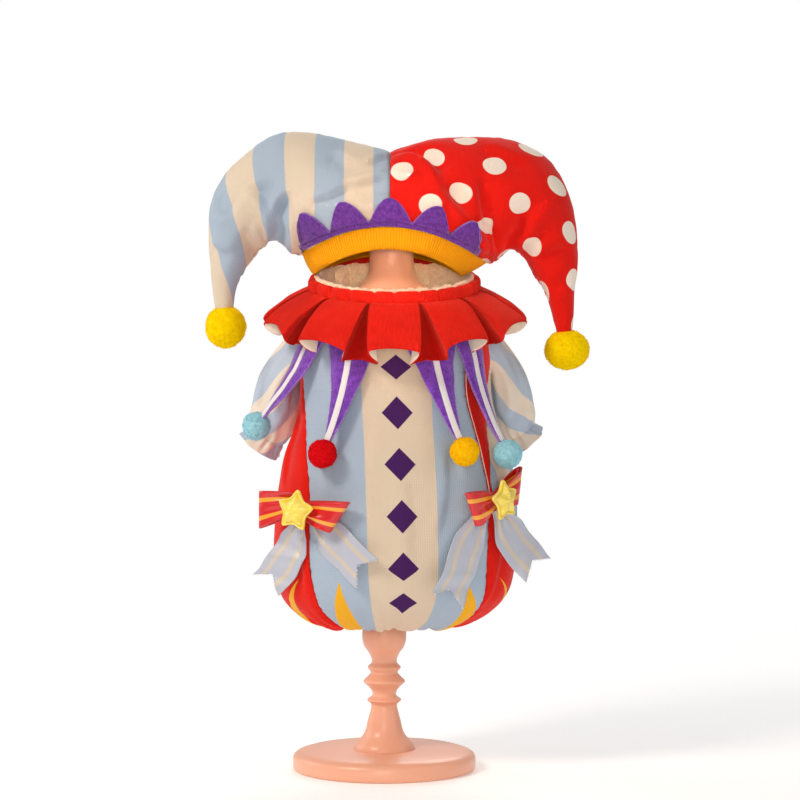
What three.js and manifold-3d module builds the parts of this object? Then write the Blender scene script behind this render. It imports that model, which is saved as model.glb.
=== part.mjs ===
// A clown costume for a small pet: a jester hat and a romper with a pleated collar.
// It is shown on a limbless form with a neck and a plain rounded head, on a turned stand.
// Millimetres, +Z up, the front towards -Y, the origin under the middle of the stand's foot.
import * as THREE from "three";
import { mergeVertices } from "three/addons/utils/BufferGeometryUtils.js";
import Module from "manifold-3d";

const wasm = await Module();
wasm.setup();

// Walls and gaps
const seamGap = 0.3;
const bodyWall = 1.5;
const hatWall = 2;
const pleatWall = 1.4;
const feltWall = 1.6;
const satinWall = 1.1;
const fleeceWall = 3;

// Stand
const footRadius = 62;
const footHeight = 13;
const postTop = 111.6;

// Neck, collar band and ruffle: half widths, half depths and heights
const neckMiddle = 6.9;
const neckTilt = 12.2; // the back of the neckline is this much above its sides, the front as much below
const band = { halfWidth: 57.5, halfDepth: 47, wall: 3.4, low: 325, high: 333.5, backRise: 9 };
const ruffle = { halfWidth: 88, halfDepth: 76, low: 303, tilt: 16.5, sag: 8.5, pleats: 11 };
const lining = { drop: 18.5, backFall: 4 }; // below the band, and how much lower its edge is at the back

// Hat: the rim is an oval round the head
const hatSeam = 4;
const rim = { middle: 6.6, halfWidth: 62.6, halfDepth: 45, high: 356.8, tilt: -2.5, arch: 10, roll: -3.5 };
const rimSeamAt = -2.4; // where the middle seam meets the rim, in degrees
const hatBand = { height: 14.3, rightShorter: 6, backDrop: 4, wall: 2.6, pull: 7, rightPull: 8.5 };
const crownStrip = 4.5;
const crownFoot = 1.8;
const bigBall = 14.6;
const smallBall = 10;

// Bows
const bowRibbon = 25;
const starRadius = 14.7;
const starDepth = 5;

const colours = {
  blueStripe: [0xa9bfd3, 0.85],
  redCloth: [0xe8281c, 0.8],
  redRib: [0xe8261b, 0.85],
  redDots: [0xe52a20, 0.8],
  creamPrint: [0xefe3d3, 0.85],
  yellowRib: [0xf5ad10, 0.9],
  purpleFelt: [0x5b2a86, 0.95],
  whiteRibbon: [0xf4f1ea, 0.5],
  fleece: [0xefe2cf, 1],
  yellowPile: [0xf5d800, 1],
  bluePile: [0x8ec9da, 1],
  redPile: [0xd8141a, 1],
  goldPile: [0xffce1f, 1],
  redSatin: [0xe8201c, 0.35],
  greySatin: [0xc9cede, 0.35],
  glitter: [0xf4dc3c, 0.4],
  pinkLacquer: [0xeebfa8, 0.25],
};

const costume = new THREE.Group();

function addPiece(name, geometry, colourName) {
  const [color, roughness] = colours[colourName];
  const mesh = new THREE.Mesh(geometry, new THREE.MeshStandardMaterial({ color, roughness, metalness: 0 }));
  mesh.name = name;
  costume.add(mesh);
}

// Small maths

const vec = (x, y, z) => new THREE.Vector3(x, y, z);
const mix = (a, b, t) => a + (b - a) * t;
const radians = (degrees) => (degrees * Math.PI) / 180;
const ease = (t) => THREE.MathUtils.smoothstep(t, 0, 1);

// A column of a table, read smoothly at t from 0, the first row, to 1, the last.
function column(table, name, t) {
  const at = THREE.MathUtils.clamp(t, 0, 1) * (table.length - 1);
  const row = Math.min(Math.floor(at), table.length - 2);
  const value = (k) => table[THREE.MathUtils.clamp(k, 0, table.length - 1)][name];
  const f = at - row;
  const [before, start, end, after] = [value(row - 1), value(row), value(row + 1), value(row + 2)];
  const [leave, arrive] = [(end - before) / 2, (after - start) / 2];
  const cubic = 2 * (start - end) + leave + arrive;
  const square = 3 * (end - start) - 2 * leave - arrive;
  return ((cubic * f + square) * f + leave) * f + start;
}

// Cloth as a grid of points, rows along v and columns along u, given a wall by moving it along its normals

function gridOf(rows, columns, wraps, point) {
  const across = wraps ? columns : columns + 1;
  return Array.from({ length: rows + 1 }, (_, r) =>
    Array.from({ length: across }, (_, c) => point(c / columns, r / rows)),
  );
}

function normalsOf(grid, wraps, inside) {
  const [rows, across] = [grid.length, grid[0].length];
  const columnAt = (c) => (wraps ? (c + across) % across : THREE.MathUtils.clamp(c, 0, across - 1));
  const normals = grid.map((row, r) =>
    row.map((_, c) => {
      const alongU = row[columnAt(c + 1)].clone().sub(row[columnAt(c - 1)]);
      const alongV = grid[Math.min(r + 1, rows - 1)][c].clone().sub(grid[Math.max(r - 1, 0)][c]);
      return alongU.cross(alongV).normalize();
    }),
  );
  const outward = grid.flat().reduce((sum, p, i) => sum + normals.flat()[i].dot(p.clone().sub(inside)), 0);
  if (outward < 0) normals.flat().forEach((n) => n.negate());
  return normals;
}

function closedSolid(points, index) {
  let volume = 0;
  for (let i = 0; i < index.length; i += 3) {
    const [a, b, c] = [points[index[i]], points[index[i + 1]], points[index[i + 2]]];
    volume += a.dot(b.clone().cross(c));
  }
  if (volume < 0) index.reverse();
  return new THREE.BufferGeometry().setFromPoints(points).setIndex(index);
}

// The solid between two grids of the same layout.
function between(outer, inner, wraps) {
  const [rows, across] = [outer.length, outer[0].length];
  const at = (side, r, c) => (side * rows + r) * across + (c % across);
  const index = [];
  const quad = (a, b, c, d) => index.push(a, b, c, a, c, d);
  const spans = wraps ? across : across - 1;
  for (let r = 0; r < rows - 1; r++) {
    for (let c = 0; c < spans; c++) {
      quad(at(0, r, c), at(0, r, c + 1), at(0, r + 1, c + 1), at(0, r + 1, c));
      quad(at(1, r, c), at(1, r + 1, c), at(1, r + 1, c + 1), at(1, r, c + 1));
    }
    if (!wraps) {
      quad(at(0, r, 0), at(0, r + 1, 0), at(1, r + 1, 0), at(1, r, 0));
      quad(at(0, r, spans), at(1, r, spans), at(1, r + 1, spans), at(0, r + 1, spans));
    }
  }
  for (let c = 0; c < spans; c++) {
    quad(at(0, 0, c), at(1, 0, c), at(1, 0, c + 1), at(0, 0, c + 1));
    quad(at(0, rows - 1, c), at(0, rows - 1, c + 1), at(1, rows - 1, c + 1), at(1, rows - 1, c));
  }
  return closedSolid([...outer.flat(), ...inner.flat()], index);
}

// The solid between a grid moved out by `from` and the same grid moved out by `to`.
// `keep` holds a moved point on its own side of a seam.
function layer(grid, from, to, wraps = false, inside = vec(neckMiddle, 0, 200), keep = (p) => p) {
  const normals = normalsOf(grid, wraps, inside);
  const moved = (distance) => grid.map((row, r) =>
    row.map((p, c) => keep(p.clone().addScaledVector(normals[r][c], distance))),
  );
  return between(moved(to), moved(from), wraps);
}

// A solid lofted through rings of points, its two ends closed.
function loft(rings) {
  const around = rings[0].length;
  const middle = (ring) => ring.reduce((sum, p) => sum.add(p), vec(0, 0, 0)).divideScalar(around);
  const points = [...rings.flat(), middle(rings[0]), middle(rings.at(-1))];
  const [firstMiddle, lastMiddle] = [points.length - 2, points.length - 1];
  const lastRing = (rings.length - 1) * around;
  const index = [];
  for (let c = 0; c < around; c++) {
    const next = (c + 1) % around;
    for (let r = 0; r < lastRing; r += around) {
      index.push(r + c, r + next, r + around + next, r + c, r + around + next, r + around + c);
    }
    index.push(firstMiddle, next, c, lastMiddle, lastRing + c, lastRing + next);
  }
  return closedSolid(points, index);
}

function solidOf(geometry) {
  const bare = new THREE.BufferGeometry();
  bare.setAttribute("position", geometry.getAttribute("position")).setIndex(geometry.index);
  const merged = mergeVertices(bare, 1e-3);
  const [vertProperties, triVerts] = [merged.attributes.position.array, new Uint32Array(merged.index.array)];
  return new wasm.Manifold(new wasm.Mesh({ numProp: 3, vertProperties, triVerts }));
}

function without(geometry, ...tools) {
  const left = tools.reduce((solid, tool) => solid.subtract(solidOf(tool)), solidOf(geometry)).getMesh();
  const positions = new THREE.BufferAttribute(new Float32Array(left.vertProperties), 3);
  return new THREE.BufferGeometry()
    .setAttribute("position", positions)
    .setIndex([...left.triVerts]);
}

// Stand: a foot, a turned post, and the form that carries the costume

const footProfile = [
  { radius: 0, height: 0 },
  { radius: footRadius - 2, height: 0 },
  { radius: footRadius, height: 2 },
  { radius: footRadius, height: footHeight - 5 },
  { radius: footRadius - 3, height: footHeight - 1.5 },
  { radius: footRadius - 8, height: footHeight },
  { radius: 0, height: footHeight },
];
const postProfile = [
  { radius: 0, height: footHeight + seamGap },
  { radius: 21, height: footHeight + seamGap },
  { radius: 19.5, height: 17 },
  { radius: 13.6, height: 24 },
  { radius: 11.2, height: 32.6 },
  { radius: 8.8, height: 42.8 },
  { radius: 11.6, height: 46.6 },
  { radius: 8.3, height: 49.6 },
  { radius: 8.7, height: 53 },
  { radius: 11, height: 55.8 },
  { radius: 14.1, height: 59.2 },
  { radius: 11.4, height: 62.4 },
  { radius: 9.2, height: 65.3 },
  { radius: 11.2, height: 68.7 },
  { radius: 8.5, height: 72.5 },
  { radius: 10.2, height: 78 },
  { radius: 13.6, height: 83 },
  { radius: 15, height: 89 },
  { radius: 14.2, height: 97 },
  { radius: 10.6, height: 106 },
  { radius: 5, height: postTop },
  { radius: 0, height: postTop },
];
const turned = (profile, around) =>
  new THREE.LatheGeometry(profile.map((p) => new THREE.Vector2(p.radius, p.height)), around)
    .rotateX(Math.PI / 2);

addPiece("stand_foot", turned(footProfile, 36), "pinkLacquer");
addPiece("stand_post", turned(postProfile, 18), "pinkLacquer");

const formRows = [
  { height: postTop + seamGap, halfWidth: 12, halfDepth: 12, middle: 1 },
  { height: 116, halfWidth: 34, halfDepth: 27, middle: 3 },
  { height: 127, halfWidth: 47, halfDepth: 37, middle: 5 },
  { height: 150, halfWidth: 54, halfDepth: 43, middle: 6 },
  { height: 200, halfWidth: 56, halfDepth: 45, middle: 7 },
  { height: 250, halfWidth: 56, halfDepth: 45, middle: 7 },
  { height: 280, halfWidth: 53, halfDepth: 42, middle: 7 },
  { height: 300, halfWidth: 45, halfDepth: 35, middle: 6 },
  { height: 314, halfWidth: 35, halfDepth: 28, middle: 5.5 },
  { height: 324, halfWidth: 26, halfDepth: 22, middle: 5.2 },
  { height: 333, halfWidth: 17.5, halfDepth: 17, middle: 5 },
  { height: 344, halfWidth: 15, halfDepth: 15, middle: 5 },
  { height: 353, halfWidth: 16.5, halfDepth: 16.5, middle: 5 },
  { height: 357, halfWidth: 28, halfDepth: 25, middle: 5.5 },
  { height: 362, halfWidth: 42, halfDepth: 37, middle: 6 },
  { height: 372, halfWidth: 50, halfDepth: 43, middle: 6 },
  { height: 386, halfWidth: 48, halfDepth: 40, middle: 6 },
  { height: 399, halfWidth: 38, halfDepth: 30, middle: 6 },
  { height: 410, halfWidth: 20, halfDepth: 15, middle: 6 },
  { height: 414.5, halfWidth: 4, halfDepth: 3, middle: 6 },
];
const formAround = 24;
const oval = ({ height, halfWidth, halfDepth, middle }) =>
  Array.from({ length: formAround }, (_, k) => {
    const turn = (2 * Math.PI * k) / formAround;
    return vec(middle + halfWidth * Math.sin(turn), -halfDepth * Math.cos(turn), height);
  });

addPiece("form_body", loft(formRows.map(oval)), "pinkLacquer");

// Romper: ovals from the neckline down to the hem, which turns under
const bodyRows = [
  { height: 324.7, halfWidth: 55, halfDepth: 44.6, middle: 6.9 },
  { height: 306, halfWidth: 60, halfDepth: 49.5, middle: 7.1 },
  { height: 284, halfWidth: 64.5, halfDepth: 54, middle: 7.5 },
  { height: 267, halfWidth: 64.5, halfDepth: 56, middle: 7.8 },
  { height: 250, halfWidth: 65.5, halfDepth: 57.5, middle: 8.1 },
  { height: 231, halfWidth: 70, halfDepth: 60, middle: 8.4 },
  { height: 212, halfWidth: 77, halfDepth: 63, middle: 8.8 },
  { height: 188, halfWidth: 81, halfDepth: 65, middle: 8.6 },
  { height: 163, halfWidth: 82.3, halfDepth: 66, middle: 7.6 },
  { height: 141, halfWidth: 82, halfDepth: 65.5, middle: 7 },
  { height: 121, halfWidth: 78, halfDepth: 61, middle: 6.5 },
  { height: 107, halfWidth: 67, halfDepth: 52, middle: 6 },
  { height: 98.6, halfWidth: 53, halfDepth: 42, middle: 5 },
  { height: 96.5, halfWidth: 41, halfDepth: 34, middle: 4 },
  { height: 101, halfWidth: 33, halfDepth: 28, middle: 3 },
];
// Where the seams run on each of these ovals, in degrees round from the front towards +X
const seamRows = [
  { frontLeft: -100, frontRight: 54, backLeft: -100, backRight: 92 },
  { frontLeft: -100, frontRight: 51, backLeft: -100, backRight: 90 },
  { frontLeft: -100, frontRight: 48, backLeft: -100, backRight: 88 },
  { frontLeft: -80, frontRight: 46, backLeft: -118, backRight: 80 },
  { frontLeft: -72, frontRight: 46, backLeft: -118, backRight: 70 },
  { frontLeft: -61, frontRight: 48, backLeft: -118, backRight: 61 },
  { frontLeft: -52, frontRight: 47, backLeft: -116, backRight: 54 },
  { frontLeft: -46, frontRight: 49, backLeft: -115, backRight: 53 },
  { frontLeft: -44, frontRight: 49, backLeft: -115, backRight: 74 },
  { frontLeft: -43, frontRight: 49, backLeft: -115, backRight: 104 },
  { frontLeft: -42, frontRight: 51, backLeft: -115, backRight: 114 },
  { frontLeft: -44, frontRight: 54, backLeft: -115, backRight: 116 },
  { frontLeft: -45, frontRight: 56, backLeft: -115, backRight: 116 },
  { frontLeft: -46, frontRight: 57, backLeft: -115, backRight: 116 },
  { frontLeft: -46, frontRight: 57, backLeft: -115, backRight: 116 },
];
const hem = { gathers: 14, depth: 2.4, from: 0.68, tuckAt: 3, tuckHalf: 5, tuckDepth: 4.5 };

function bodyPoint(degrees, v) {
  const turn = radians(degrees);
  const nearHem = ease((v - hem.from) / (1 - hem.from));
  const gather = hem.depth * (1 - Math.cos(hem.gathers * turn + 0.9)) / 2;
  const tuck = hem.tuckDepth * Math.exp(-(((degrees - hem.tuckAt) / hem.tuckHalf) ** 2));
  const inwards = nearHem * (gather + tuck);
  const tilted = neckTilt * Math.cos(turn) * (1 - ease(v / 0.28));
  return vec(
    column(bodyRows, "middle", v) + (column(bodyRows, "halfWidth", v) - inwards) * Math.sin(turn),
    -(column(bodyRows, "halfDepth", v) - inwards) * Math.cos(turn),
    column(bodyRows, "height", v) - tilted + nearHem * gather * 0.8,
  );
}

// A point off the body's surface by lift, along its normal.
function offBody(degrees, v, lift) {
  const [turnStep, rowStep] = [0.5, 0.01];
  const across = bodyPoint(degrees + turnStep, v).sub(bodyPoint(degrees - turnStep, v));
  const down = bodyPoint(degrees, Math.min(v + rowStep, 1)).sub(bodyPoint(degrees, Math.max(v - rowStep, 0)));
  return bodyPoint(degrees, v).addScaledVector(down.cross(across).normalize(), lift);
}

// Armholes: an oval on the body's side, which the sleeve is sewn round
const armhole = { degrees: 100, halfDegrees: 19, row: 0.147, halfRow: 0.075 };
const sleeveAround = 14;

function armholeRing(side, scale, out) {
  return Array.from({ length: sleeveAround }, (_, k) => {
    const turn = (2 * Math.PI * k) / sleeveAround;
    const degrees = side * (armhole.degrees + scale * armhole.halfDegrees * Math.cos(turn));
    const v = armhole.row - scale * armhole.halfRow * Math.sin(turn);
    const p = bodyPoint(degrees, v);
    const outwards = vec(Math.sin(radians(degrees)), -Math.cos(radians(degrees)), 0);
    return p.addScaledVector(outwards, out);
  });
}
const armholeCut = (side) => loft([armholeRing(side, 1.02, -12), armholeRing(side, 1.02, 12)]);

// Each panel runs from one seam to another, and starts `top` rows below the neckline.
const bodyPanels = [
  { name: "front_panel", colour: "creamPrint", from: "frontLeft", to: "frontRight", columns: 12, top: 0 },
  { name: "side_panel_left", colour: "redCloth", from: "backLeft", to: "frontLeft", columns: 6, top: 2 },
  { name: "side_panel_right", colour: "redCloth", from: "frontRight", to: "backRight", columns: 5, top: 0 },
  { name: "back_panel", colour: "blueStripe", from: "backRight", to: "backLeft", columns: 14, top: 0 },
];
const bodyGridRows = bodyRows.length - 1;
const armholeCuts = [armholeCut(1), armholeCut(-1)];

for (const { name, colour, from, to, columns, top } of bodyPanels) {
  const pastBack = from === "backRight" ? 360 : 0;
  const panel = (lift) => gridOf(bodyGridRows - top, columns, false, (u, down) => {
    const v = mix(top / bodyGridRows, 1, down);
    const seam = (seamGap / 2 / column(bodyRows, "halfDepth", v)) * (180 / Math.PI);
    const start = column(seamRows, from, v) + seam;
    const end = column(seamRows, to, v) + pastBack - seam;
    return offBody(mix(start, end, u), v, lift);
  });
  addPiece(name, without(between(panel(0), panel(-bodyWall), false), ...armholeCuts), colour);
}

// Sleeves: lantern puffs that hang back and out from the armholes, drawn in above a short flounce
const sleeveRows = [
  { out: 74, back: 9, height: 286, acrossBack: 20, acrossUp: 14 },
  { out: 84, back: 14, height: 275, acrossBack: 20, acrossUp: 13 },
  { out: 90.5, back: 20, height: 261, acrossBack: 20, acrossUp: 14.5 },
  { out: 92, back: 26, height: 247, acrossBack: 20, acrossUp: 14.5 },
  { out: 92.5, back: 29, height: 236, acrossBack: 17, acrossUp: 13.5 },
  { out: 94, back: 31, height: 228, acrossBack: 12.5, acrossUp: 11 },
  { out: 97.5, back: 33, height: 221, acrossBack: 16, acrossUp: 13.5 },
];
const sleeveMiddle = { 1: 0, "-1": 11 }; // the left sleeve mirrors the right one about half this
const sleeveDrop = { 1: 0, "-1": 3 };

function sleevePoint(side, u, v) {
  const place = (t) => vec(
    side * column(sleeveRows, "out", t) + sleeveMiddle[side],
    column(sleeveRows, "back", t),
    column(sleeveRows, "height", t) - sleeveDrop[side] * t,
  );
  const along = place(Math.min(v + 0.04, 1)).sub(place(Math.max(v - 0.04, 0))).normalize();
  const backwards = vec(0, 1, 0).addScaledVector(along, -along.y).normalize();
  const upwards = along.clone().cross(backwards).multiplyScalar(side);
  const turn = 2 * Math.PI * u;
  const free = place(v)
    .addScaledVector(backwards, column(sleeveRows, "acrossBack", v) * Math.cos(turn))
    .addScaledVector(upwards, column(sleeveRows, "acrossUp", v) * Math.sin(turn));
  const sewn = armholeRing(side, 1, 0.9)[Math.round(u * sleeveAround) % sleeveAround];
  return sewn.lerp(free, ease(v / 0.3));
}

for (const [name, side] of [["sleeve_right", 1], ["sleeve_left", -1]]) {
  const grid = gridOf(7, sleeveAround, true, (u, v) => sleevePoint(side, u, v));
  const inside = vec(side * 86 + sleeveMiddle[side], 20, 250);
  addPiece(name, layer(grid, -bodyWall, 0, true, inside), "blueStripe");
}

// Collar: a ribbed band, a fleece lining inside the neck, and a ruffle of box pleats

const bandAround = 32;
const neckPoint = (turn, halfWidth, halfDepth, height) => vec(
  neckMiddle + halfWidth * Math.sin(turn),
  -halfDepth * Math.cos(turn),
  height - neckTilt * Math.cos(turn),
);

const bandGrid = gridOf(2, bandAround, true, (u, v) => {
  const swell = 0.9 * Math.sin(Math.PI * v);
  const rise = band.backRise * Math.max(0, -Math.cos(2 * Math.PI * u)) ** 3;
  const height = mix(band.high + rise, band.low, v);
  return neckPoint(2 * Math.PI * u, band.halfWidth - 0.9 + swell, band.halfDepth - 0.9 + swell, height);
});
addPiece("collar_band", layer(bandGrid, -band.wall, 0, true), "redRib");

const liningGrid = gridOf(2, bandAround, true, (u, v) => {
  const inset = band.wall + 0.9 + seamGap + 0.2;
  const top = band.high + 0.5 - lining.backFall * Math.max(0, -Math.cos(2 * Math.PI * u)) ** 3;
  return neckPoint(2 * Math.PI * u, band.halfWidth - inset, band.halfDepth - inset,
    mix(top, band.low - lining.drop, v));
});
addPiece("neck_lining", layer(liningGrid, -fleeceWall, 0, true), "fleece");

// One pleat of the ruffle: across it as a share of its width, how far the hem stands out there,
// and how far it hangs below the ruffle's own hem line
const pleat = [
  { across: -0.41, out: -6, drop: 4.6 },
  { across: -0.33, out: 2.6, drop: 2 },
  { across: -0.12, out: 1.6, drop: -1.6 },
  { across: 0.12, out: 1.8, drop: -1.6 },
  { across: 0.33, out: 2.8, drop: 1.2 },
  { across: 0.41, out: -6, drop: 4.6 },
];

function rufflePoint(turn, { out, drop }, v) {
  const low = ruffle.low - ruffle.tilt * Math.cos(turn) - ruffle.sag * Math.cos(2 * turn) - drop;
  const high = band.low - seamGap - neckTilt * Math.cos(turn);
  const spread = v ** 0.85;
  return vec(
    neckMiddle + (mix(band.halfWidth, ruffle.halfWidth, spread) + out * v) * Math.sin(turn),
    -(mix(band.halfDepth, ruffle.halfDepth, spread) + out * v) * Math.cos(turn),
    mix(high, low, v ** 1.12),
  );
}

const ruffleColumns = ruffle.pleats * pleat.length;
const ruffleGrid = gridOf(3, ruffleColumns, true, (u, v) => {
  const k = Math.round(u * ruffleColumns);
  const corner = pleat[k % pleat.length];
  const middle = Math.floor(k / pleat.length);
  return rufflePoint(((middle + corner.across) * 2 * Math.PI) / ruffle.pleats, corner, v);
});
addPiece("collar_ruffle", layer(ruffleGrid, -pleatWall, 0, true), "redRib");

// Felt points: each hangs from under the ruffle to a ball, with a ribbon down its middle.
// Angles are in degrees from the front towards +X, and lift is how far the ball's middle is off the cloth.
const feltPoints = [
  { name: "1", rootAt: -60, rootRow: 0.09, width: 27, ballAt: -80, ballRow: 0.385, lift: 25 },
  { name: "2", rootAt: -26, rootRow: 0.11, width: 28, ballAt: -34.5, ballRow: 0.424, lift: 11 },
  { name: "3", rootAt: 22, rootRow: 0.11, width: 26, ballAt: 31, ballRow: 0.42, lift: 11 },
  { name: "4", rootAt: 49, rootRow: 0.09, width: 23, ballAt: 57, ballRow: 0.428, lift: 11.2 },
];
const ballColours = { 1: "bluePile", 2: "redPile", 3: "goldPile", 4: "bluePile" };

for (const { name, rootAt, rootRow, width, ballAt, ballRow, lift } of feltPoints) {
  const centre = offBody(ballAt, ballRow, lift);
  const route = (t) => offBody(mix(rootAt, ballAt, t ** 1.25), mix(rootRow, ballRow, t),
    mix(2.6, lift - 1, ease(t)));
  let reach = 1;
  while (route(reach).distanceTo(centre) < smallBall + 0.5) reach -= 0.002;
  const strip = (columns, t0, t1, halfWidthAt, bow) => gridOf(6, columns, false, (u, v) => {
    const t = mix(t0, t1, v) * reach;
    const along = route(t + 0.01).sub(route(Math.max(t - 0.01, 0)));
    const [x, y] = [route(t).x - neckMiddle, route(t).y];
    const outwards = vec(x, y * 1.3, 0).normalize();
    const sideways = along.normalize().cross(outwards).normalize();
    const across = (2 * u - 1) * halfWidthAt(v);
    return route(t)
      .addScaledVector(sideways, across)
      .addScaledVector(outwards, -(across ** 2) / bow);
  });
  const felt = strip(3, 0, 1, (v) => mix(width / 2, 2, v ** 0.85), 110);
  addPiece("felt_point_" + name, layer(felt, -feltWall / 2, feltWall / 2), "purpleFelt");
  const ribbon = strip(1, 0.02, 0.98, () => 1.7, 110);
  const face = feltWall / 2 + seamGap;
  addPiece("felt_ribbon_" + name, layer(ribbon, face, face + satinWall), "whiteRibbon");
  const sphere = new THREE.IcosahedronGeometry(smallBall, 2).translate(...centre.toArray());
  addPiece("felt_ball_" + name, sphere, ballColours[name]);
}

// Hat: each half is a horn. A station has a point on the lower edge, one on the ridge, and the half depth.
// On the crown the lower edge lies on the rim, `rimAt` degrees round from the front.
const horns = {
  striped: {
    side: -1,
    ball: vec(-107.8, 0, 299.9),
    stations: [
      { rimAt: -rimSeamAt, ridgeX: hatSeam, ridgeZ: 418.9, halfDepth: 35 },
      { rimAt: 33, ridgeX: -26.7, ridgeZ: 426.4, halfDepth: 38 },
      { rimAt: 57, ridgeX: -51, ridgeZ: 431.8, halfDepth: 40 },
      { rimAt: 90, ridgeX: -70.2, ridgeZ: 432.4, halfDepth: 38 },
      { lowX: -63.4, lowZ: 350.2, ridgeX: -84.5, ridgeZ: 426.4, halfDepth: 35 },
      { lowX: -70.2, lowZ: 356.7, ridgeX: -97, ridgeZ: 416.2, halfDepth: 32 },
      { lowX: -76.4, lowZ: 359.1, ridgeX: -108.3, ridgeZ: 404.4, halfDepth: 28 },
      { lowX: -82.5, lowZ: 355.3, ridgeX: -116.3, ridgeZ: 388.3, halfDepth: 24 },
      { lowX: -89.3, lowZ: 346.3, ridgeX: -119.3, ridgeZ: 369.9, halfDepth: 19.5 },
      { lowX: -99.2, lowZ: 330.5, ridgeX: -118.2, ridgeZ: 344.1, halfDepth: 12 },
      { lowX: -103.4, lowZ: 315.2, ridgeX: -115.6, ridgeZ: 315.2, halfDepth: 6.5 },
    ],
  },
  dotted: {
    side: 1,
    ball: vec(124.2, 0, 284.4),
    stations: [
      { rimAt: rimSeamAt, ridgeX: hatSeam, ridgeZ: 418.9, halfDepth: 35 },
      { rimAt: 23, ridgeX: 31.1, ridgeZ: 427, halfDepth: 37 },
      { rimAt: 49, ridgeX: 56, ridgeZ: 429, halfDepth: 39 },
      { rimAt: 90, ridgeX: 78, ridgeZ: 428.4, halfDepth: 38 },
      { lowX: 76, lowZ: 344.6, ridgeX: 95, ridgeZ: 423.9, halfDepth: 35 },
      { lowX: 82.8, lowZ: 350, ridgeX: 109.8, ridgeZ: 414.9, halfDepth: 33 },
      { lowX: 86.8, lowZ: 352.1, ridgeX: 121.6, ridgeZ: 400.2, halfDepth: 30 },
      { lowX: 90.9, lowZ: 350.9, ridgeX: 129.1, ridgeZ: 383.5, halfDepth: 26 },
      { lowX: 96.4, lowZ: 344.1, ridgeX: 132.4, ridgeZ: 361.8, halfDepth: 21 },
      { lowX: 102.5, lowZ: 332.5, ridgeX: 132.4, ridgeZ: 338.6, halfDepth: 16 },
      { lowX: 110, lowZ: 319.6, ridgeX: 130.2, ridgeZ: 320.6, halfDepth: 11.5 },
      { lowX: 117.4, lowZ: 299.7, ridgeX: 128, ridgeZ: 299.7, halfDepth: 6.5 },
    ],
  },
};

function rimPoint(degrees) {
  const turn = radians(degrees);
  return vec(
    rim.middle + rim.halfWidth * Math.sin(turn),
    -rim.halfDepth * Math.cos(turn),
    rim.high + rim.tilt * Math.cos(turn) + rim.arch * Math.cos(2 * turn) + rim.roll * Math.sin(turn),
  );
}

const crownStations = 4;

// `face` is 1 on the front of the hat and -1 on its back; s runs from the middle seam to the tip,
// and rise from the lower edge to the ridge.
function hornSurface({ side, stations }, face) {
  const onRim = (rimAt) => rimPoint(face > 0 ? side * rimAt : side * (180 - rimAt));
  const lows = stations.map(({ rimAt, lowX, lowZ }) =>
    (rimAt === undefined ? vec(lowX, 0, lowZ) : onRim(rimAt)));
  const lowEdge = new THREE.CatmullRomCurve3(lows, false, "catmullrom", 0.5);
  const lowPoint = (s) => {
    const at = s * (stations.length - 1);
    const k = Math.floor(at);
    const onCrown = k < crownStations - 1;
    return onCrown ? onRim(mix(stations[k].rimAt, stations[k + 1].rimAt, at - k)) : lowEdge.getPoint(s);
  };
  const tops = stations.map(({ ridgeX, ridgeZ }) => vec(ridgeX, 0, ridgeZ));
  const ridge = new THREE.CatmullRomCurve3(tops, false, "catmullrom", 0.5);
  return (s, rise) => {
    const low = lowPoint(s);
    const p = low.clone().lerp(ridge.getPoint(s), rise);
    const halfDepth = column(stations, "halfDepth", s);
    const depth = Math.sqrt(low.y ** 2 * (1 - rise) + 4 * halfDepth ** 2 * rise * (1 - rise));
    return vec(p.x, -face * Math.max(depth, seamGap / 2), p.z);
  };
}

const hornGrid = { along: 18, up: 6 };

for (const [name, horn] of Object.entries(horns)) {
  for (const [faceName, face] of [["front", 1], ["back", -1]]) {
    const surface = hornSurface(horn, face);
    const crownEnd = (crownStations - 1) / (horn.stations.length - 1);
    const grid = gridOf(hornGrid.up, hornGrid.along, false, (u, v) => {
      const round = ease(u / crownEnd);
      const rise = mix(Math.sin((Math.PI * v) / 2), (1 - Math.cos(Math.PI * v)) / 2, round);
      const p = surface(u, rise);
      if (u === 0) p.x = hatSeam + (horn.side * seamGap) / 2;
      return p;
    });
    const inside = vec(horn.side * 60, 0, 390);
    const keep = (p) => {
      p.y = face * Math.min(face * p.y, -seamGap / 2);
      p.x = horn.side * Math.max(horn.side * p.x, horn.side * hatSeam + seamGap / 2);
      return p;
    };
    const colour = name === "striped" ? "blueStripe" : "redDots";
    addPiece("hat_" + faceName + "_" + name, layer(grid, -hatWall, 0, false, inside, keep), colour);
  }
  const sphere = new THREE.IcosahedronGeometry(bigBall, 2).translate(...horn.ball.toArray());
  addPiece("hat_ball_" + name, sphere, "yellowPile");
}

const hatBandGrid = gridOf(1, 36, true, (u, v) => {
  const p = rimPoint(360 * u);
  const right = Math.max(0, Math.sin(2 * Math.PI * u));
  const back = Math.max(0, -Math.cos(2 * Math.PI * u));
  const height = hatBand.height - hatBand.rightShorter * right ** 2 + hatBand.backDrop * back ** 2;
  const pull = hatBand.pull + hatBand.rightPull * right;
  const inwards = mix(0, pull / rim.halfWidth, v);
  return vec(mix(p.x, rim.middle, inwards), p.y * (1 - inwards), p.z - (2 + 2 * right) * seamGap - height * v);
});
addPiece("hat_band", layer(hatBandGrid, -hatBand.wall, 0, true, vec(rim.middle, 0, 345)), "yellowRib");

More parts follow.
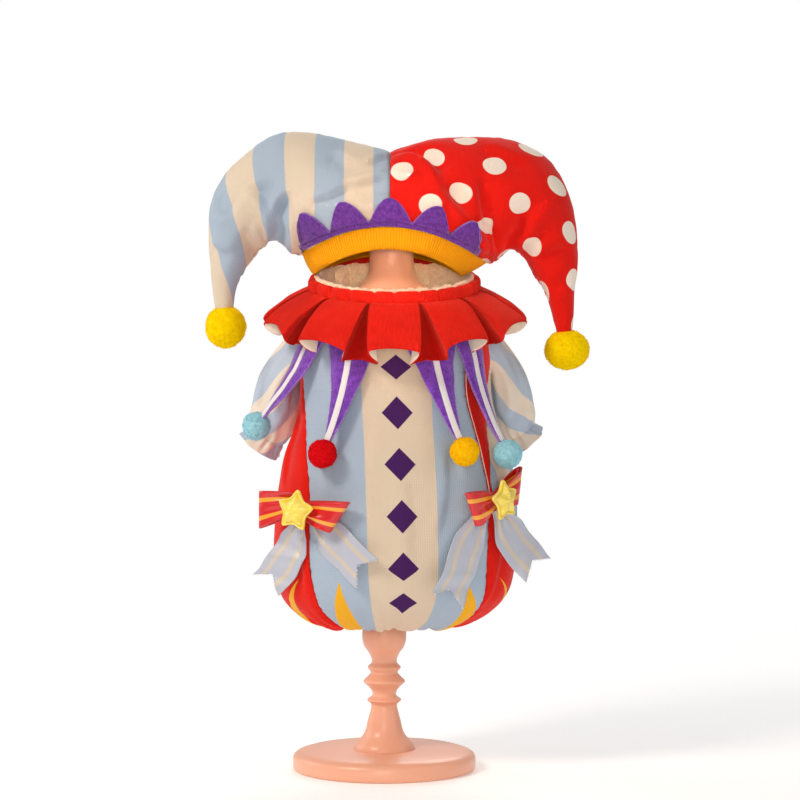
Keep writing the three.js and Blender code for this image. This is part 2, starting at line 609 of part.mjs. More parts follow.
// Felt crown: a strip along the band with five rounded points, lying on the front of the hat.
// `tip` is where a point's tip stands, from -1 at its left end to 1 at its right end.
const crownPoints = [
  { from: -78, to: -42, height: 22, tip: -0.55 },
  { from: -42, to: -15, height: 21.7, tip: -0.43 },
  { from: -15, to: 11, height: 22, tip: -0.04 },
  { from: 11, to: 36, height: 20.8, tip: 0.46 },
  { from: 36, to: 64, height: 20, tip: 0.65 },
];

function onHatFront(degrees, height) {
  const horn = degrees < rimSeamAt ? horns.striped : horns.dotted;
  const crown = horn.stations.filter((station) => station.rimAt !== undefined);
  const at = degrees * horn.side;
  const k = Math.max(0, crown.findLastIndex((station) => station.rimAt <= at));
  const f = (at - crown[k].rimAt) / (crown[k + 1].rimAt - crown[k].rimAt);
  const surface = hornSurface(horn, 1);
  const s = (k + f) / (horn.stations.length - 1);
  return surface(s, height / surface(s, 0).distanceTo(surface(s, 1)));
}

const crownColumns = 35;
const crownGrid = gridOf(2, crownColumns, false, (u, v) => {
  const degrees = mix(crownPoints[0].from, crownPoints.at(-1).to, u);
  const point = crownPoints.find(({ to }) => degrees <= to + 1e-6);
  const fromTip = (2 * (degrees - point.from)) / (point.to - point.from) - 1 - point.tip;
  const across = Math.abs(fromTip) / (1 - Math.sign(fromTip) * point.tip);
  const peak = (1 - Math.min(across, 1) ** 1.5) * (point.height - crownStrip);
  return onHatFront(degrees, crownFoot + (crownStrip + peak) * v);
});
const crownSolid = layer(crownGrid, 0.9, 0.9 + feltWall, false, vec(hatSeam, 20, 350));
addPiece("hat_felt_crown", crownSolid, "purpleFelt");

// Bows: two ribbon loops, two tails and a padded star, facing `facing` degrees from the front towards +X.
// A loop's top edge goes `skew` further than its bottom one, it starts `rise` above the middle and its end is
// `droop` below it. A tail goes off `slant` degrees from straight down, bows sideways, and is turned about the knot.
const bows = [
  {
    name: "left", at: -43.5, row: 0.53, facing: -30,
    loops: [
      { way: -1, length: 32, skew: 0, rise: 5, droop: 0.5 },
      { way: 1, length: 28, skew: 15, rise: 0, droop: 4.2 },
    ],
    tails: [
      { way: -1, slant: 33, length: 53, bowing: 4, turn: 0 },
      { way: 1, slant: 51, length: 54.5, bowing: 0.5, turn: 0 },
    ],
  },
  {
    name: "right", at: 46, row: 0.511, facing: 52,
    loops: [
      { way: -1, length: 24, skew: 12, rise: 0, droop: 5.5 },
      { way: 1, length: 26, skew: 5, rise: 0, droop: -9 },
    ],
    tails: [
      { way: -1, slant: 27, length: 66, bowing: 0.5, turn: -17 },
      { way: 1, slant: 37.5, length: 52, bowing: 2, turn: -29 },
    ],
  },
];
const bowLift = 9;
const swallowtail = 9;

function starOutline() {
  const shape = new THREE.Shape();
  for (let k = 0; k < 10; k++) {
    const radius = k % 2 ? starRadius * 0.56 : starRadius;
    const turn = (Math.PI * k) / 5 + Math.PI / 2;
    shape[k ? "lineTo" : "moveTo"](radius * Math.cos(turn), radius * Math.sin(turn));
  }
  return shape;
}

// A ribbon loop seen from above: it leaves the knot, swells, and comes back.
const loopRound = 12;
function loopPoint({ way, length, skew, rise, droop }, u, v) {
  const turn = 2 * Math.PI * u;
  const along = (1 - Math.cos(turn)) / 2;
  const swell = 5.2 * Math.sign(Math.sin(turn)) * Math.abs(Math.sin(turn)) ** 0.8 * (0.5 + 0.5 * along);
  const halfHeight = mix(5, Math.sqrt(bowRibbon ** 2 - skew ** 2) / 2, along ** 0.7);
  return vec(
    way * (1.2 + (length + skew * (v - 0.5)) * along),
    -swell,
    mix(-halfHeight, halfHeight, v) + mix(rise, -droop, along),
  );
}

for (const { name, at, row, facing, loops, tails } of bows) {
  const place = new THREE.Matrix4()
    .makeRotationZ(radians(facing))
    .setPosition(offBody(at, row, bowLift));
  const addBowPiece = (piece, geometry, colour) =>
    addPiece("bow_" + name + "_" + piece, geometry.applyMatrix4(place), colour);
  for (const loop of loops) {
    const grid = gridOf(2, loopRound, true, (u, v) => loopPoint(loop, u, v));
    const geometry = layer(grid, -satinWall, 0, true, vec(loop.way * loop.length * 0.6, 0, 0));
    addBowPiece(loop.way < 0 ? "loop_a" : "loop_b", geometry, "redSatin");
  }
  for (const { way, slant, length, bowing, turn } of tails) {
    const [sine, cosine] = [Math.sin(radians(slant)), Math.cos(radians(slant))];
    const grid = gridOf(5, 4, false, (u, v) => {
      const across = (2 * u - 1) * mix(4.4, bowRibbon / 2, ease(v * 2.6));
      const along = v * (length - swallowtail * (1 - Math.abs(2 * u - 1)));
      const bowed = bowing * 4 * v * (1 - v);
      return vec(
        way * (3.5 + along * sine + (1 - v) * 1.5 - bowed * cosine) + across * cosine,
        5.9 + 1.2 * Math.sin(Math.PI * v),
        -6.4 - along * cosine + way * across * sine - bowed * sine,
      );
    });
    const tail = layer(grid, 0, satinWall, false, vec(0, 40, 0)).rotateZ(radians(turn));
    addBowPiece(way < 0 ? "tail_a" : "tail_b", tail, "greySatin");
  }
  const star = new THREE.ExtrudeGeometry(starOutline(), { depth: starDepth, bevelEnabled: false })
    .rotateX(Math.PI / 2)
    .translate(0, -6, 0);
  addBowPiece("star", star, "glitter");
}

export default costume;
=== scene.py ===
# A pet's clown costume on its stand: jester hat, pleated collar, romper, puffed sleeves, felt points and bows
import math
import bpy
import numpy as np
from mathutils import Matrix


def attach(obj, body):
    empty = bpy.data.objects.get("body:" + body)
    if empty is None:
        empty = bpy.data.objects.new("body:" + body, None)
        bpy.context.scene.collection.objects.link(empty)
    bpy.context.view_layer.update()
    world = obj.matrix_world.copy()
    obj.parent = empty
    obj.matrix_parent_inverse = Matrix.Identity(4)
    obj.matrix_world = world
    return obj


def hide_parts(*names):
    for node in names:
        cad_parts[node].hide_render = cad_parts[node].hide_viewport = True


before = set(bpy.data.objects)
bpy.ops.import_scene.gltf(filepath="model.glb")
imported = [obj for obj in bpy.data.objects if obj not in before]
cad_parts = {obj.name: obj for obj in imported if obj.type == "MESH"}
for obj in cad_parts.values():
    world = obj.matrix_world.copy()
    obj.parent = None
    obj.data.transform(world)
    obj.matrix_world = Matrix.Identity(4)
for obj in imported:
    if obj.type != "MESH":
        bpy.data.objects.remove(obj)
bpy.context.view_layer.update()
print("frame loaded")

# Everything below is worked out in millimetres and turned to metres when a mesh is made.
tau = 2 * math.pi

view = {"at": (10.7, -1500, 250.2), "lens": 99.3}
studio = {
    # white surroundings: how bright they are on the camera's side, to the left and right, behind and above,
    # and the white that the camera itself sees past the floor
    "surround": {"colour": "#ffffff", "front": 0.25, "side": 0.38, "back": 0.6, "top": 0.32, "seen": 1.0},
    "floor": {
        "colour": "#ffffff", "glow": 0.16, "fadesFrom": 150, "fadesTo": 1400, "half": 3000, "below": 0.2},
    # what the lights point at; one has its own aim, which reaches in under the brim
    "aim": (7, 0, 240),
    # where each soft light stands, its size in mm, its power in watts, its colour and how wide its beam
    # spreads in degrees
    "lights": [
        {"at": (-900, -850, 1150), "size": 380, "power": 12, "colour": "#fff1e2", "spread": 180},
        {"at": (0, -1650, 330), "size": 420, "power": 6.1, "colour": "#fff0e2", "spread": 180},
        {"at": (40, -1300, 318), "size": 60, "power": 0.03, "colour": "#ffdcb4", "spread": 9,
         "aim": (8, 0, 338)},
        {"at": (1400, -500, 700), "size": 900, "power": 3, "colour": "#fff8f0", "spread": 180},
        {"at": (-1400, 600, 700), "size": 900, "power": 5, "colour": "#ffffff", "spread": 180},
        {"at": (200, 1400, 1300), "size": 900, "power": 10, "colour": "#ffffff", "spread": 180},
    ],
}


# sRGB hex to the linear colour that a socket takes
def linear(hexColour):
    parts = [int(hexColour[k:k + 2], 16) / 255 for k in (1, 3, 5)]
    return [c / 12.92 if c <= 0.04045 else ((c + 0.055) / 1.055) ** 2.4 for c in parts] + [1]


scene = bpy.context.scene
scene.view_settings.view_transform = "Standard"
cameraData = bpy.data.cameras.new("camera")
cameraData.lens = view["lens"]
cameraData.clip_end = 50
camera = bpy.data.objects.new("camera", cameraData)
camera.location = [c / 1000 for c in view["at"]]
camera.rotation_euler = (math.pi / 2, 0, 0)
scene.collection.objects.link(camera)
scene.camera = camera

for number, light in enumerate(studio["lights"]):
    lamp = bpy.data.lights.new(f"softbox_{number}", "AREA")
    lamp.size = light["size"] / 1000
    lamp.energy = light["power"]
    lamp.color = linear(light["colour"])[:3]
    lamp.spread = math.radians(light["spread"])
    box = bpy.data.objects.new(lamp.name, lamp)
    box.location = [c / 1000 for c in light["at"]]
    towards = np.array(light.get("aim", studio["aim"])) / 1000 - np.array(box.location)
    box.rotation_euler = (
        math.acos(-towards[2] / np.linalg.norm(towards)), 0, math.atan2(-towards[0], towards[1]))
    scene.collection.objects.link(box)


# Adds a shader node. Settings whose names are the node's own are set on it; the rest are its inputs, by name
# or number, and an input given another node's socket is linked to it.
def addNode(tree, kind, settings=None):
    made = tree.nodes.new(kind)
    for key, value in (settings or {}).items():
        if isinstance(key, str) and hasattr(made, key):
            setattr(made, key, value)
        elif isinstance(value, bpy.types.NodeSocket):
            tree.links.new(value, made.inputs[key])
        else:
            made.inputs[key].default_value = value
    return made


world = bpy.data.worlds.new("studio")
scene.world = world
world.use_nodes = True
world.node_tree.nodes.clear()
surround = studio["surround"]
direction = addNode(world.node_tree, "ShaderNodeTexCoord")
axes = addNode(world.node_tree, "ShaderNodeSeparateXYZ", {0: direction.outputs["Generated"]})
howFarBack = addNode(world.node_tree, "ShaderNodeMapRange", {0: axes.outputs[1], 1: -1.0, 2: 1.0})
frontToBack = addNode(world.node_tree, "ShaderNodeValToRGB", {0: howFarBack.outputs[0]})
for k, where in enumerate(("front", "side", "back")):
    stop = frontToBack.color_ramp.elements[k] if k < 2 else frontToBack.color_ramp.elements.new(1.0)
    stop.position = k / 2
    stop.color = [surround[where]] * 3 + [1]
upwards = addNode(world.node_tree, "ShaderNodeMapRange", {0: axes.outputs[2], 1: 0.1, 2: 1.0})
around = addNode(world.node_tree, "ShaderNodeMix", {
    0: upwards.outputs[0], 2: frontToBack.outputs[0], 3: surround["top"]})
toCamera = addNode(world.node_tree, "ShaderNodeLightPath")
strength = addNode(world.node_tree, "ShaderNodeMix", {
    0: toCamera.outputs["Is Camera Ray"], 2: around.outputs[0], 3: surround["seen"]})
skyNode = addNode(world.node_tree, "ShaderNodeBackground", {
    "Color": linear(surround["colour"]), "Strength": strength.outputs[0]})
addNode(world.node_tree, "ShaderNodeOutputWorld", {"Surface": skyNode.outputs[0]})
print("camera and lights set")


# Maths for curves, noise and creases

def mix(a, b, t):
    return a + (b - a) * t


def ease(t):
    t = np.clip(t, 0, 1)
    return t * t * (3 - 2 * t)


# A column of a table read smoothly at t from 0, its first value, to 1, its last.
# With openEnds the curve leaves its ends straight on, as a drawn curve does.
def readColumn(values, t, openEnds=False):
    values = np.array(values, float)
    before, after = (2 * values[0] - values[1], 2 * values[-1] - values[-2]) if openEnds else values[[0, -1]]
    padded = np.concatenate([[before], values, [after]])
    at = np.clip(t, 0, 1) * (len(values) - 1)
    k = np.minimum(at.astype(int), len(values) - 2)
    f = at - k
    p0, p1, p2, p3 = (padded[k + step] for step in range(4))
    leave, arrive = (p2 - p0) / 2, (p3 - p1) / 2
    bend = (2 * (p1 - p2) + leave + arrive) * f + 3 * (p2 - p1) - 2 * leave - arrive
    return bend * f * f + leave * f + p1


def point(x, y, z):
    return np.stack(np.broadcast_arrays(x, y, z), axis=-1).astype(float)


def unit(vectors):
    return vectors / np.maximum(np.linalg.norm(vectors, axis=-1, keepdims=True), 1e-9)


# How far along a path each of its points is. A closed path has its first point once more at the end.
def alongPath(path, closed=False):
    steps = np.diff(path, axis=0, append=path[:1]) if closed else np.diff(path, axis=0)
    return np.concatenate([[0], np.cumsum(np.linalg.norm(steps, axis=1))])


def clothPlaces(across, down):
    return np.stack(np.broadcast_arrays(across, down), -1)


# Smooth cloudy noise from -1 to 1 with lumps about `size` mm across; one seed always gives the same lumps.
def clouds(points, size, seed):
    lattice = np.random.default_rng(seed).uniform(-1, 1, (32, 32, 32))
    at = points / size
    base = np.floor(at).astype(int)
    f = at - base
    f = f * f * (3 - 2 * f)
    total = 0
    for corner in np.ndindex(2, 2, 2):
        weight = np.prod(np.where(np.array(corner) == 1, f, 1 - f), axis=-1)
        i, j, k = np.moveaxis((base + corner) % 32, -1, 0)
        total = total + lattice[i, j, k] * weight
    return total


# An uneven wave along x: a few sines near the wanted spacing with seeded phases, from about -1 to 1.
def unevenWave(x, spacing, seed):
    rng = np.random.default_rng(seed)
    total = 0
    for stretch, share in ((1, 0.5), (1.37, 0.3), (0.71, 0.28), (2.3, 0.2)):
        total = total + share * np.sin(tau * x / (spacing * stretch) + rng.uniform(0, tau))
    return total


# How far creases push a cloth in or out. a and b are places on the flat cloth in mm. Each crease runs from
# one place to another with a bend in mm. It is a trough with a soft ridge beside it, on the side that `side`
# says.
def creaseDepth(a, b, creases):
    total = np.zeros(np.broadcast(a, b).shape)
    for a0, b0, a1, b1, bend, width, depth, side in creases:
        da, db = a1 - a0, b1 - b0
        length = math.hypot(da, db)
        t = ((a - a0) * da + (b - b0) * db) / length ** 2
        off = ((a - a0) * db - (b - b0) * da) / length - bend * 4 * t * (1 - t)
        off = off * side
        ends = ease(t / 0.3 + 0.1) * ease((1 - t) / 0.35 + 0.1)
        steep = np.where(off < 0, width * 0.42, width * 1.25)
        trough = np.exp(-(off / steep) ** 2)
        ridge = np.exp(-((off + width * 0.95) / (width * 0.55)) ** 2)
        total = total + depth * ends * (0.5 * ridge - trough)
    return total


# Meshes from points in mm. faces are arrays of corners, one of quads and one of triangles as needed;
# cloth is where each face corner lies on the flat cloth, in mm; kinds says which material each face has.
def addMesh(name, points, faces, materials, cloth=None, kinds=None):
    mesh = bpy.data.meshes.new(name)
    groups = [np.asarray(group, np.int32) for group in faces if len(group)]
    corners = np.concatenate([group.ravel() for group in groups])
    sizes = np.concatenate([np.full(len(group), group.shape[1]) for group in groups])
    mesh.vertices.add(len(points))
    mesh.vertices.foreach_set("co", (np.asarray(points, np.float64) / 1000).astype(np.float32).ravel())
    mesh.loops.add(len(corners))
    mesh.loops.foreach_set("vertex_index", corners)
    mesh.polygons.add(len(sizes))
    mesh.polygons.foreach_set("loop_start", np.concatenate([[0], np.cumsum(sizes)[:-1]]).astype(np.int32))
    if kinds is not None:
        mesh.polygons.foreach_set("material_index", np.asarray(kinds, np.int32))
    if cloth is not None:
        mesh.uv_layers.new(name="cloth").data.foreach_set("uv", np.asarray(cloth, np.float32).ravel())
    mesh.update(calc_edges=True)
    mesh.shade_smooth()
    for material in materials:
        mesh.materials.append(material)
    made = bpy.data.objects.new(name, mesh)
    scene.collection.objects.link(made)
    return made


# Which way a grid of points faces, away from a place inside it
def gridNormals(grid, wraps, inside):
    if wraps:
        alongU = np.roll(grid, -1, 1) - np.roll(grid, 1, 1)
    else:
        alongU = np.gradient(grid, axis=1)
    normals = unit(np.cross(alongU, np.gradient(grid, axis=0)))
    return -normals if np.sum(normals * (grid - inside)) < 0 else normals


# A thin closed shell of cloth. grid is its outer face, rows by columns; places is where each point lies on
# the flat cloth, with one more column than the grid if it wraps; gone marks the squares that are cut away;
# the second material is on its inner face from row linedFrom.
def addCloth(name, grid, wall, materials, places,
             wraps=False, gone=None, inside=(7, 0, 200), linedFrom=0):
    rows, across = grid.shape[:2]
    normals = gridNormals(grid, wraps, np.array(inside, float))
    points = np.concatenate([grid.reshape(-1, 3), (grid - normals * wall).reshape(-1, 3)])
    r, c = np.mgrid[0:rows - 1, 0:across if wraps else across - 1]
    corner = [(r, c), (r, c + 1), (r + 1, c + 1), (r + 1, c)]
    outer = np.stack([row * across + column % across for row, column in corner], -1)
    cloth = np.stack([places[row, column] for row, column in corner], -2)
    kept = np.ones(outer.shape[:2], bool) if gone is None else ~gone
    outer, cloth = outer[kept], cloth[kept]
    # the edges that only one square has are where the two faces are joined
    starts, ends = outer, np.roll(outer, -1, 1)
    keys = np.minimum(starts, ends) * np.int64(len(points)) + np.maximum(starts, ends)
    counts = np.unique(keys, return_inverse=True, return_counts=True)
    single = counts[2][counts[1].reshape(keys.shape)] == 1
    a, b = starts[single], ends[single]
    inner = rows * across
    rim = np.stack([b, a, a + inner, b + inner], -1)
    clothA, clothB = cloth[single], np.roll(cloth, -1, 1)[single]
    rimCloth = np.stack([clothB, clothA, clothA, clothB], -2)
    quads = np.concatenate([outer, outer[:, ::-1] + inner, rim])
    p = points[outer]
    volumeSign = np.sum(np.cross(p[:, 1] - p[:, 0], p[:, 3] - p[:, 0]) * normals.reshape(-1, 3)[outer[:, 0]])
    quadCloth = np.concatenate([cloth, cloth[:, ::-1], rimCloth])
    if volumeSign < 0:
        quads, quadCloth = quads[:, ::-1], quadCloth[:, ::-1]
    kinds = np.zeros(len(quads), int)
    if len(materials) > 1:
        kinds[len(outer):2 * len(outer)] = r[kept] >= linedFrom
    return addMesh(name, points, [quads], materials, quadCloth.reshape(-1, 2), kinds)


# The quads between rings of points, each of which closes on itself
def ringQuads(count, around):
    r, c = np.mgrid[0:count - 1, 0:around]
    nextC = (c + 1) % around
    quads = [r * around + c, r * around + nextC, (r + 1) * around + nextC, (r + 1) * around + c]
    return np.stack(quads, -1).reshape(-1, 4)


# A closed solid through rings of points, with its two ends drawn together.
def addLoft(name, rings, material):
    count, around = rings.shape[:2]
    points = np.concatenate([rings.reshape(-1, 3), rings[0].mean(0)[None], rings[-1].mean(0)[None]])
    k = np.arange(around)
    last = (count - 1) * around
    firstCap = np.stack([np.full(around, len(points) - 2), (k + 1) % around, k], -1)
    lastCap = np.stack([np.full(around, len(points) - 1), last + k, last + (k + 1) % around], -1)
    return addMesh(name, points, [ringQuads(count, around), np.concatenate([firstCap, lastCap])], [material])


# Short threads laid along a path: each is a small capsule that bulges off the cloth.
def addStitches(name, path, lifts, pitch, length, thickness, material):
    rings, sides = 6, 6
    reach = alongPath(path)
    starts = np.arange(pitch * 0.3, reach[-1] - length, pitch)
    along = np.linspace(0, 1, rings)
    turns = np.arange(sides) * tau / sides
    at = starts[:, None] + length * along[None]
    middle = np.stack([np.interp(at, reach, path[:, k]) for k in range(3)], -1)
    lift = unit(np.stack([np.interp(at, reach, lifts[:, k]) for k in range(3)], -1))
    forward = unit(np.gradient(middle, axis=1))
    sideways = unit(np.cross(forward, lift))
    fat = thickness / 2 * np.sqrt(np.clip(1 - (2 * along - 1) ** 4, 0.02, 1))
    middle = middle + lift * (thickness * (0.35 * np.sin(math.pi * along) - 0.1))[None, :, None]
    ring = (middle[:, :, None] + fat[None, :, None, None] * (
        np.cos(turns)[None, None, :, None] * sideways[:, :, None]
        + np.sin(turns)[None, None, :, None] * lift[:, :, None]))
    base = (np.arange(len(starts)) * rings * sides)[:, None, None]
    ends = np.array([[[0, 3, 2, 1], [0, 5, 4, 3], [30, 31, 32, 33], [30, 33, 34, 35]]])
    quads = [(base + part).reshape(-1, 4) for part in (ringQuads(rings, sides)[None], ends)]
    return addMesh(name, ring.reshape(-1, 3), [np.concatenate(quads)], [material])


# Fibres: thin bent blades of one quad and one triangle from root to tip.
def fibreParts(roots, ways, lengths, width, rng):
    ways = unit(ways)
    side = unit(np.cross(ways, rng.normal(size=ways.shape)))
    bend = unit(ways + 0.55 * rng.normal(size=ways.shape))
    lengths = lengths[:, None]
    middle = roots + ways * lengths * 0.55
    tip = middle + bend * lengths * 0.5
    half = side * width / 2
    points = np.stack([roots - half, roots + half, middle + half * 0.8, middle - half * 0.8, tip], 1)
    base = (np.arange(len(roots)) * 5)[:, None]
    return points.reshape(-1, 3), base + np.array([[0, 1, 2, 3]]), base + np.array([[3, 2, 4]])


# A shader number that is added, multiplied and compared like a plain one; every step is one math node.
class ShaderNumber:
    def __init__(self, tree, socket):
        self.tree, self.socket = tree, socket

    def step(self, operation, *others, clamp=False):
        inputs = {k: getattr(other, "socket", other) for k, other in enumerate((self, *others))}
        made = addNode(self.tree, "ShaderNodeMath", {"operation": operation, "use_clamp": clamp, **inputs})
        return ShaderNumber(self.tree, made.outputs[0])

    def __add__(self, other):
        return self.step("ADD", other)

    def __sub__(self, other):
        return self.step("SUBTRACT", other)

    def __mul__(self, other):
        return self.step("MULTIPLY", other)

    def __truediv__(self, other):
        return self.step("DIVIDE", other)

    # kept from 0 to 1
    def limited(self):
        return self.step("ADD", 0, clamp=True)

    # 1 where this distance in mm is below zero, with a soft edge as a printed or woven edge has
    def inside(self, soft=0.35):
        return (self * (-1 / soft) + 0.5).limited()

    # how far this is from the nearest of marks that stand `pitch` apart
    def fromNearest(self, pitch, first=0):
        return (self - first).step("PINGPONG", pitch / 2)

    # the height of threads that lie side by side, `pitch` mm apart: 1 on each and 0 between them
    def threads(self, pitch):
        return (self * (math.pi / pitch)).step("SINE").step("ABSOLUTE")


def newTree(name):
    material = bpy.data.materials.new(name)
    material.use_nodes = True
    material.node_tree.nodes.clear()
    return material, material.node_tree


# Where a point lies on the flat cloth, in mm: across it and down it
def clothPlace(tree):
    place = addNode(tree, "ShaderNodeUVMap", {"uv_map": "cloth"})
    parts = addNode(tree, "ShaderNodeSeparateXYZ", {0: place.outputs[0]})
    return ShaderNumber(tree, parts.outputs[0]), ShaderNumber(tree, parts.outputs[1])


# Cloudy noise through the object, with lumps about `size` mm across, from 0 to 1
def cloudyNumber(tree, size, detail=2):
    place = addNode(tree, "ShaderNodeTexCoord")
    noise = addNode(tree, "ShaderNodeTexNoise", {
        "Vector": place.outputs["Object"], "Scale": 1000 / size, "Detail": detail})
    return ShaderNumber(tree, noise.outputs[0])


# Cloudy noise on the flat cloth, `wide` mm across and `tall` mm down, as yarn that is lighter in places
def stretchedNoise(tree, across, down, wide, tall):
    at = addNode(tree, "ShaderNodeCombineXYZ", {0: (across / wide).socket, 1: (down / tall).socket})
    noise = addNode(tree, "ShaderNodeTexNoise", {"Vector": at.outputs[0], "Scale": 1.0})
    return ShaderNumber(tree, noise.outputs[0])


# Lays colours over a first one; each layer is how much of it shows and its hex colour.
def layColours(tree, first, layers):
    colour = linear(first)
    for share, hexColour in layers:
        over = addNode(tree, "ShaderNodeMix", {
            "data_type": "RGBA", 0: share.socket, 6: colour, 7: linear(hexColour)})
        colour = over.outputs[2]
    return colour


# Darkens a colour by a shader number that is 1 where it stays as it is.
def shaded(tree, colour, share):
    mixed = addNode(tree, "ShaderNodeMix", {
        "data_type": "RGBA", "blend_type": "MULTIPLY", 0: 1.0, 6: colour, 7: share.socket})
    return mixed.outputs[2]


# Ends a material with its surface; height, if given, is a bump `depth` mm deep.
def closeMaterial(tree, colour, settings, height=None, depth=0.1):
    surface = addNode(tree, "ShaderNodeBsdfPrincipled", {"Base Color": colour, **settings})
    if height is not None:
        bump = addNode(tree, "ShaderNodeBump", {"Height": height.socket, "Distance": depth / 1000})
        tree.links.new(bump.outputs[0], surface.inputs["Normal"])
    addNode(tree, "ShaderNodeOutputMaterial", {"Surface": surface.outputs[0]})


# The height of a plain weave or fine knit, from 0 to 1, with `share` of it from the threads that run across
def weaveHeight(across, down, pitchAcross, pitchDown, share):
    return across.threads(pitchAcross) * (1 - share) + down.threads(pitchDown) * share


cotton = {
    "finish": {"Roughness": 0.9, "Sheen Weight": 0.12, "Sheen Roughness": 0.45, "Specular IOR Level": 0.15},
    "wale": 1.5, "course": 1.7, "depth": 0.16, "lumps": 28,
}
hemTriangles = {
    # how far apart the yellow triangles stand and how far down the cloth they begin, in mm
    "pitch": 43.8, "apex": 195,
    # how far each edge spreads per mm down, and how far the triangles lean, more so on the right
    "spread": 0.28, "lean": 0.35, "rightLean": 0.2,
    "colour": "#f0b223",
}


# The share of a cloth that the hem triangles cover, but for those within `leftOut` pitches of the front
def triangleShare(across, down, leans=1, more=0, leftOut=0.5):
    below = down - hemTriangles["apex"]
    lean = (across.step("SIGN") * hemTriangles["rightLean"] + hemTriangles["lean"]) * leans + more
    middle = across.step("ABSOLUTE") - below.step("MAXIMUM", 0) * lean
    slant = middle.fromNearest(hemTriangles["pitch"]) - below * hemTriangles["spread"]
    notFront = (middle * -1 + hemTriangles["pitch"] * leftOut).inside()
    return slant.inside() * notFront


# Printed polyester-cotton jersey: a matt cloth with faint lengthwise wales and a soft bloom at grazing light.
# Its threads are drawn several times as coarse as they are, so that they show.
def cottonMaterial(name, base, pattern=None):
    material, tree = newTree(name)
    across, down = clothPlace(tree)
    layers = pattern(across, down) if pattern else []
    weave = weaveHeight(across, down, cotton["wale"], cotton["course"], 0.4)
    cloudy = cloudyNumber(tree, cotton["lumps"])
    # a little darker between the threads, which is painted shade; the cloudy part is the cloth's own uneven
    # tone
    colour = shaded(tree, layColours(tree, base, layers), weave * 0.035 + cloudy * 0.08 + 0.92)
    closeMaterial(tree, colour, cotton["finish"], weave, cotton["depth"])
    return material


frontPrint = {
    # the cream strip down the middle and its diamonds: half their width and height, all in mm
    "strip": 46.5, "diamond": (10.2, 10.9), "pitch": 34, "first": 16.2, "end": 228,
    # where the gathered hem and the neck draw the print up: from, over how far, by how much
    "hemDraws": (188, 26, 12), "neckDraws": (31, -6, 6),
}
stripes = {"width": 21, "backShift": 14}
# the sleeves' blue and cream are paler copies, with the light that passes through them painted in
blue, red, paintedLightSleeveBlue = "#a8bacd", "#e21a0c", "#b9c8dc"
stripCream, stripeCream, paintedLightSleeveCream, liningCream = "#dbc9b3", "#ddceba", "#ece0d2", "#f3e6d6"
diamondPurple = "#441d5b"


# Blue with a cream strip down the middle, which has a row of purple diamonds, and yellow triangles at the hem
def frontPattern(across, down):
    wide, tall = frontPrint["diamond"]
    fromMiddle = across.step("ABSOLUTE")
    printed = down
    for start, over, by in (frontPrint["hemDraws"], frontPrint["neckDraws"]):
        printed = printed + ((down - start) / over).limited() * by
    fromDiamond = printed.fromNearest(frontPrint["pitch"], frontPrint["first"])
    diamond = ((fromMiddle / wide + fromDiamond / tall) - 1) * wide
    aboveHem = (down * -1 + frontPrint["end"]).limited()
    return [
        ((fromMiddle - frontPrint["strip"] / 2).inside(), stripCream),
        (diamond.inside() * aboveHem, diamondPurple),
        (triangleShare(across, down), hemTriangles["colour"]),
    ]


def sidePattern(across, down):
    triangles = triangleShare(across * 1.12, down, more=1.0, leftOut=1.5)
    return [(triangles, hemTriangles["colour"])]


def stripeShare(across):
    width = stripes["width"]
    return (across.fromNearest(2 * width, width / 2) - width / 2).inside()


def stripePattern(across, down):
    return [(stripeShare(across), stripeCream)]


# The sleeves let some light through, and that light is painted in: their blue and cream are paler copies of
# the romper's.
def sleevePattern(across, down):
    return [(stripeShare(across), paintedLightSleeveCream)]


def backPattern(across, down):
    triangles = triangleShare(across, down, leans=0)
    return [(stripeShare(across + stripes["backShift"]), stripeCream), (triangles, hemTriangles["colour"])]


frontCotton = cottonMaterial("printedCottonFront", blue, frontPattern)
redCotton = cottonMaterial("printedCottonRed", red, sidePattern)
backCotton = cottonMaterial("printedCottonBack", blue, backPattern)
stripedCotton = cottonMaterial("printedCottonStriped", blue, stripePattern)
sleeveCotton = cottonMaterial("printedCottonSleeves", paintedLightSleeveBlue, sleevePattern)
creamLining = cottonMaterial("plainCottonLining", liningCream)
print("cotton materials made")


# Sets a new piece on the stand's body, in the place of the CAD nodes it stands for.
def place(piece, slotName, *nodes):
    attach(piece, "root")
    if nodes:
        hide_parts(*nodes)


# Stand and form

lacquer = {"colour": "#eeae90", "roughness": 0.38, "coat": 0.18, "lumps": 40, "depth": 0.05}


# Turned beech under pink lacquer: smooth, with a clear coat's soft highlights and a trace of brush.
def lacquerMaterial():
    material, tree = newTree("pinkLacquer")
    cloudy = cloudyNumber(tree, lacquer["lumps"], 3)
    colour = shaded(tree, linear(lacquer["colour"]), cloudy * 0.06 + 0.95)
    closeMaterial(tree, colour, {
        "Roughness": lacquer["roughness"], "Coat Weight": lacquer["coat"], "Coat Roughness": 0.25,
        "IOR": 1.5, "Subsurface Weight": 0.05, "Subsurface Scale": 0.004}, cloudy, lacquer["depth"])
    return material


pinkLacquer = lacquerMaterial()
stand = {
    # radius and height of the turned profiles, in mm
    "foot": [
        (0, 0), (60, 0), (61.4, 0.6), (62, 2), (62, 8),
        (61.2, 10), (59, 11.5), (54, 13), (30, 13.3), (0, 13.3)],
    "post": [
        (21, 13.3), (19.5, 17), (13.6, 24), (11.2, 32.6), (8.8, 42.8), (11.6, 46.6), (8.3, 49.6),
        (8.7, 53), (11, 55.8), (14.1, 59.2), (11.4, 62.4), (9.2, 65.3), (11.2, 68.7), (8.5, 72.5),
        (10.2, 78), (13.6, 83), (15, 89), (14.2, 97), (10.6, 106), (5, 111.6)],
    "axisRadius": 0.4,
}
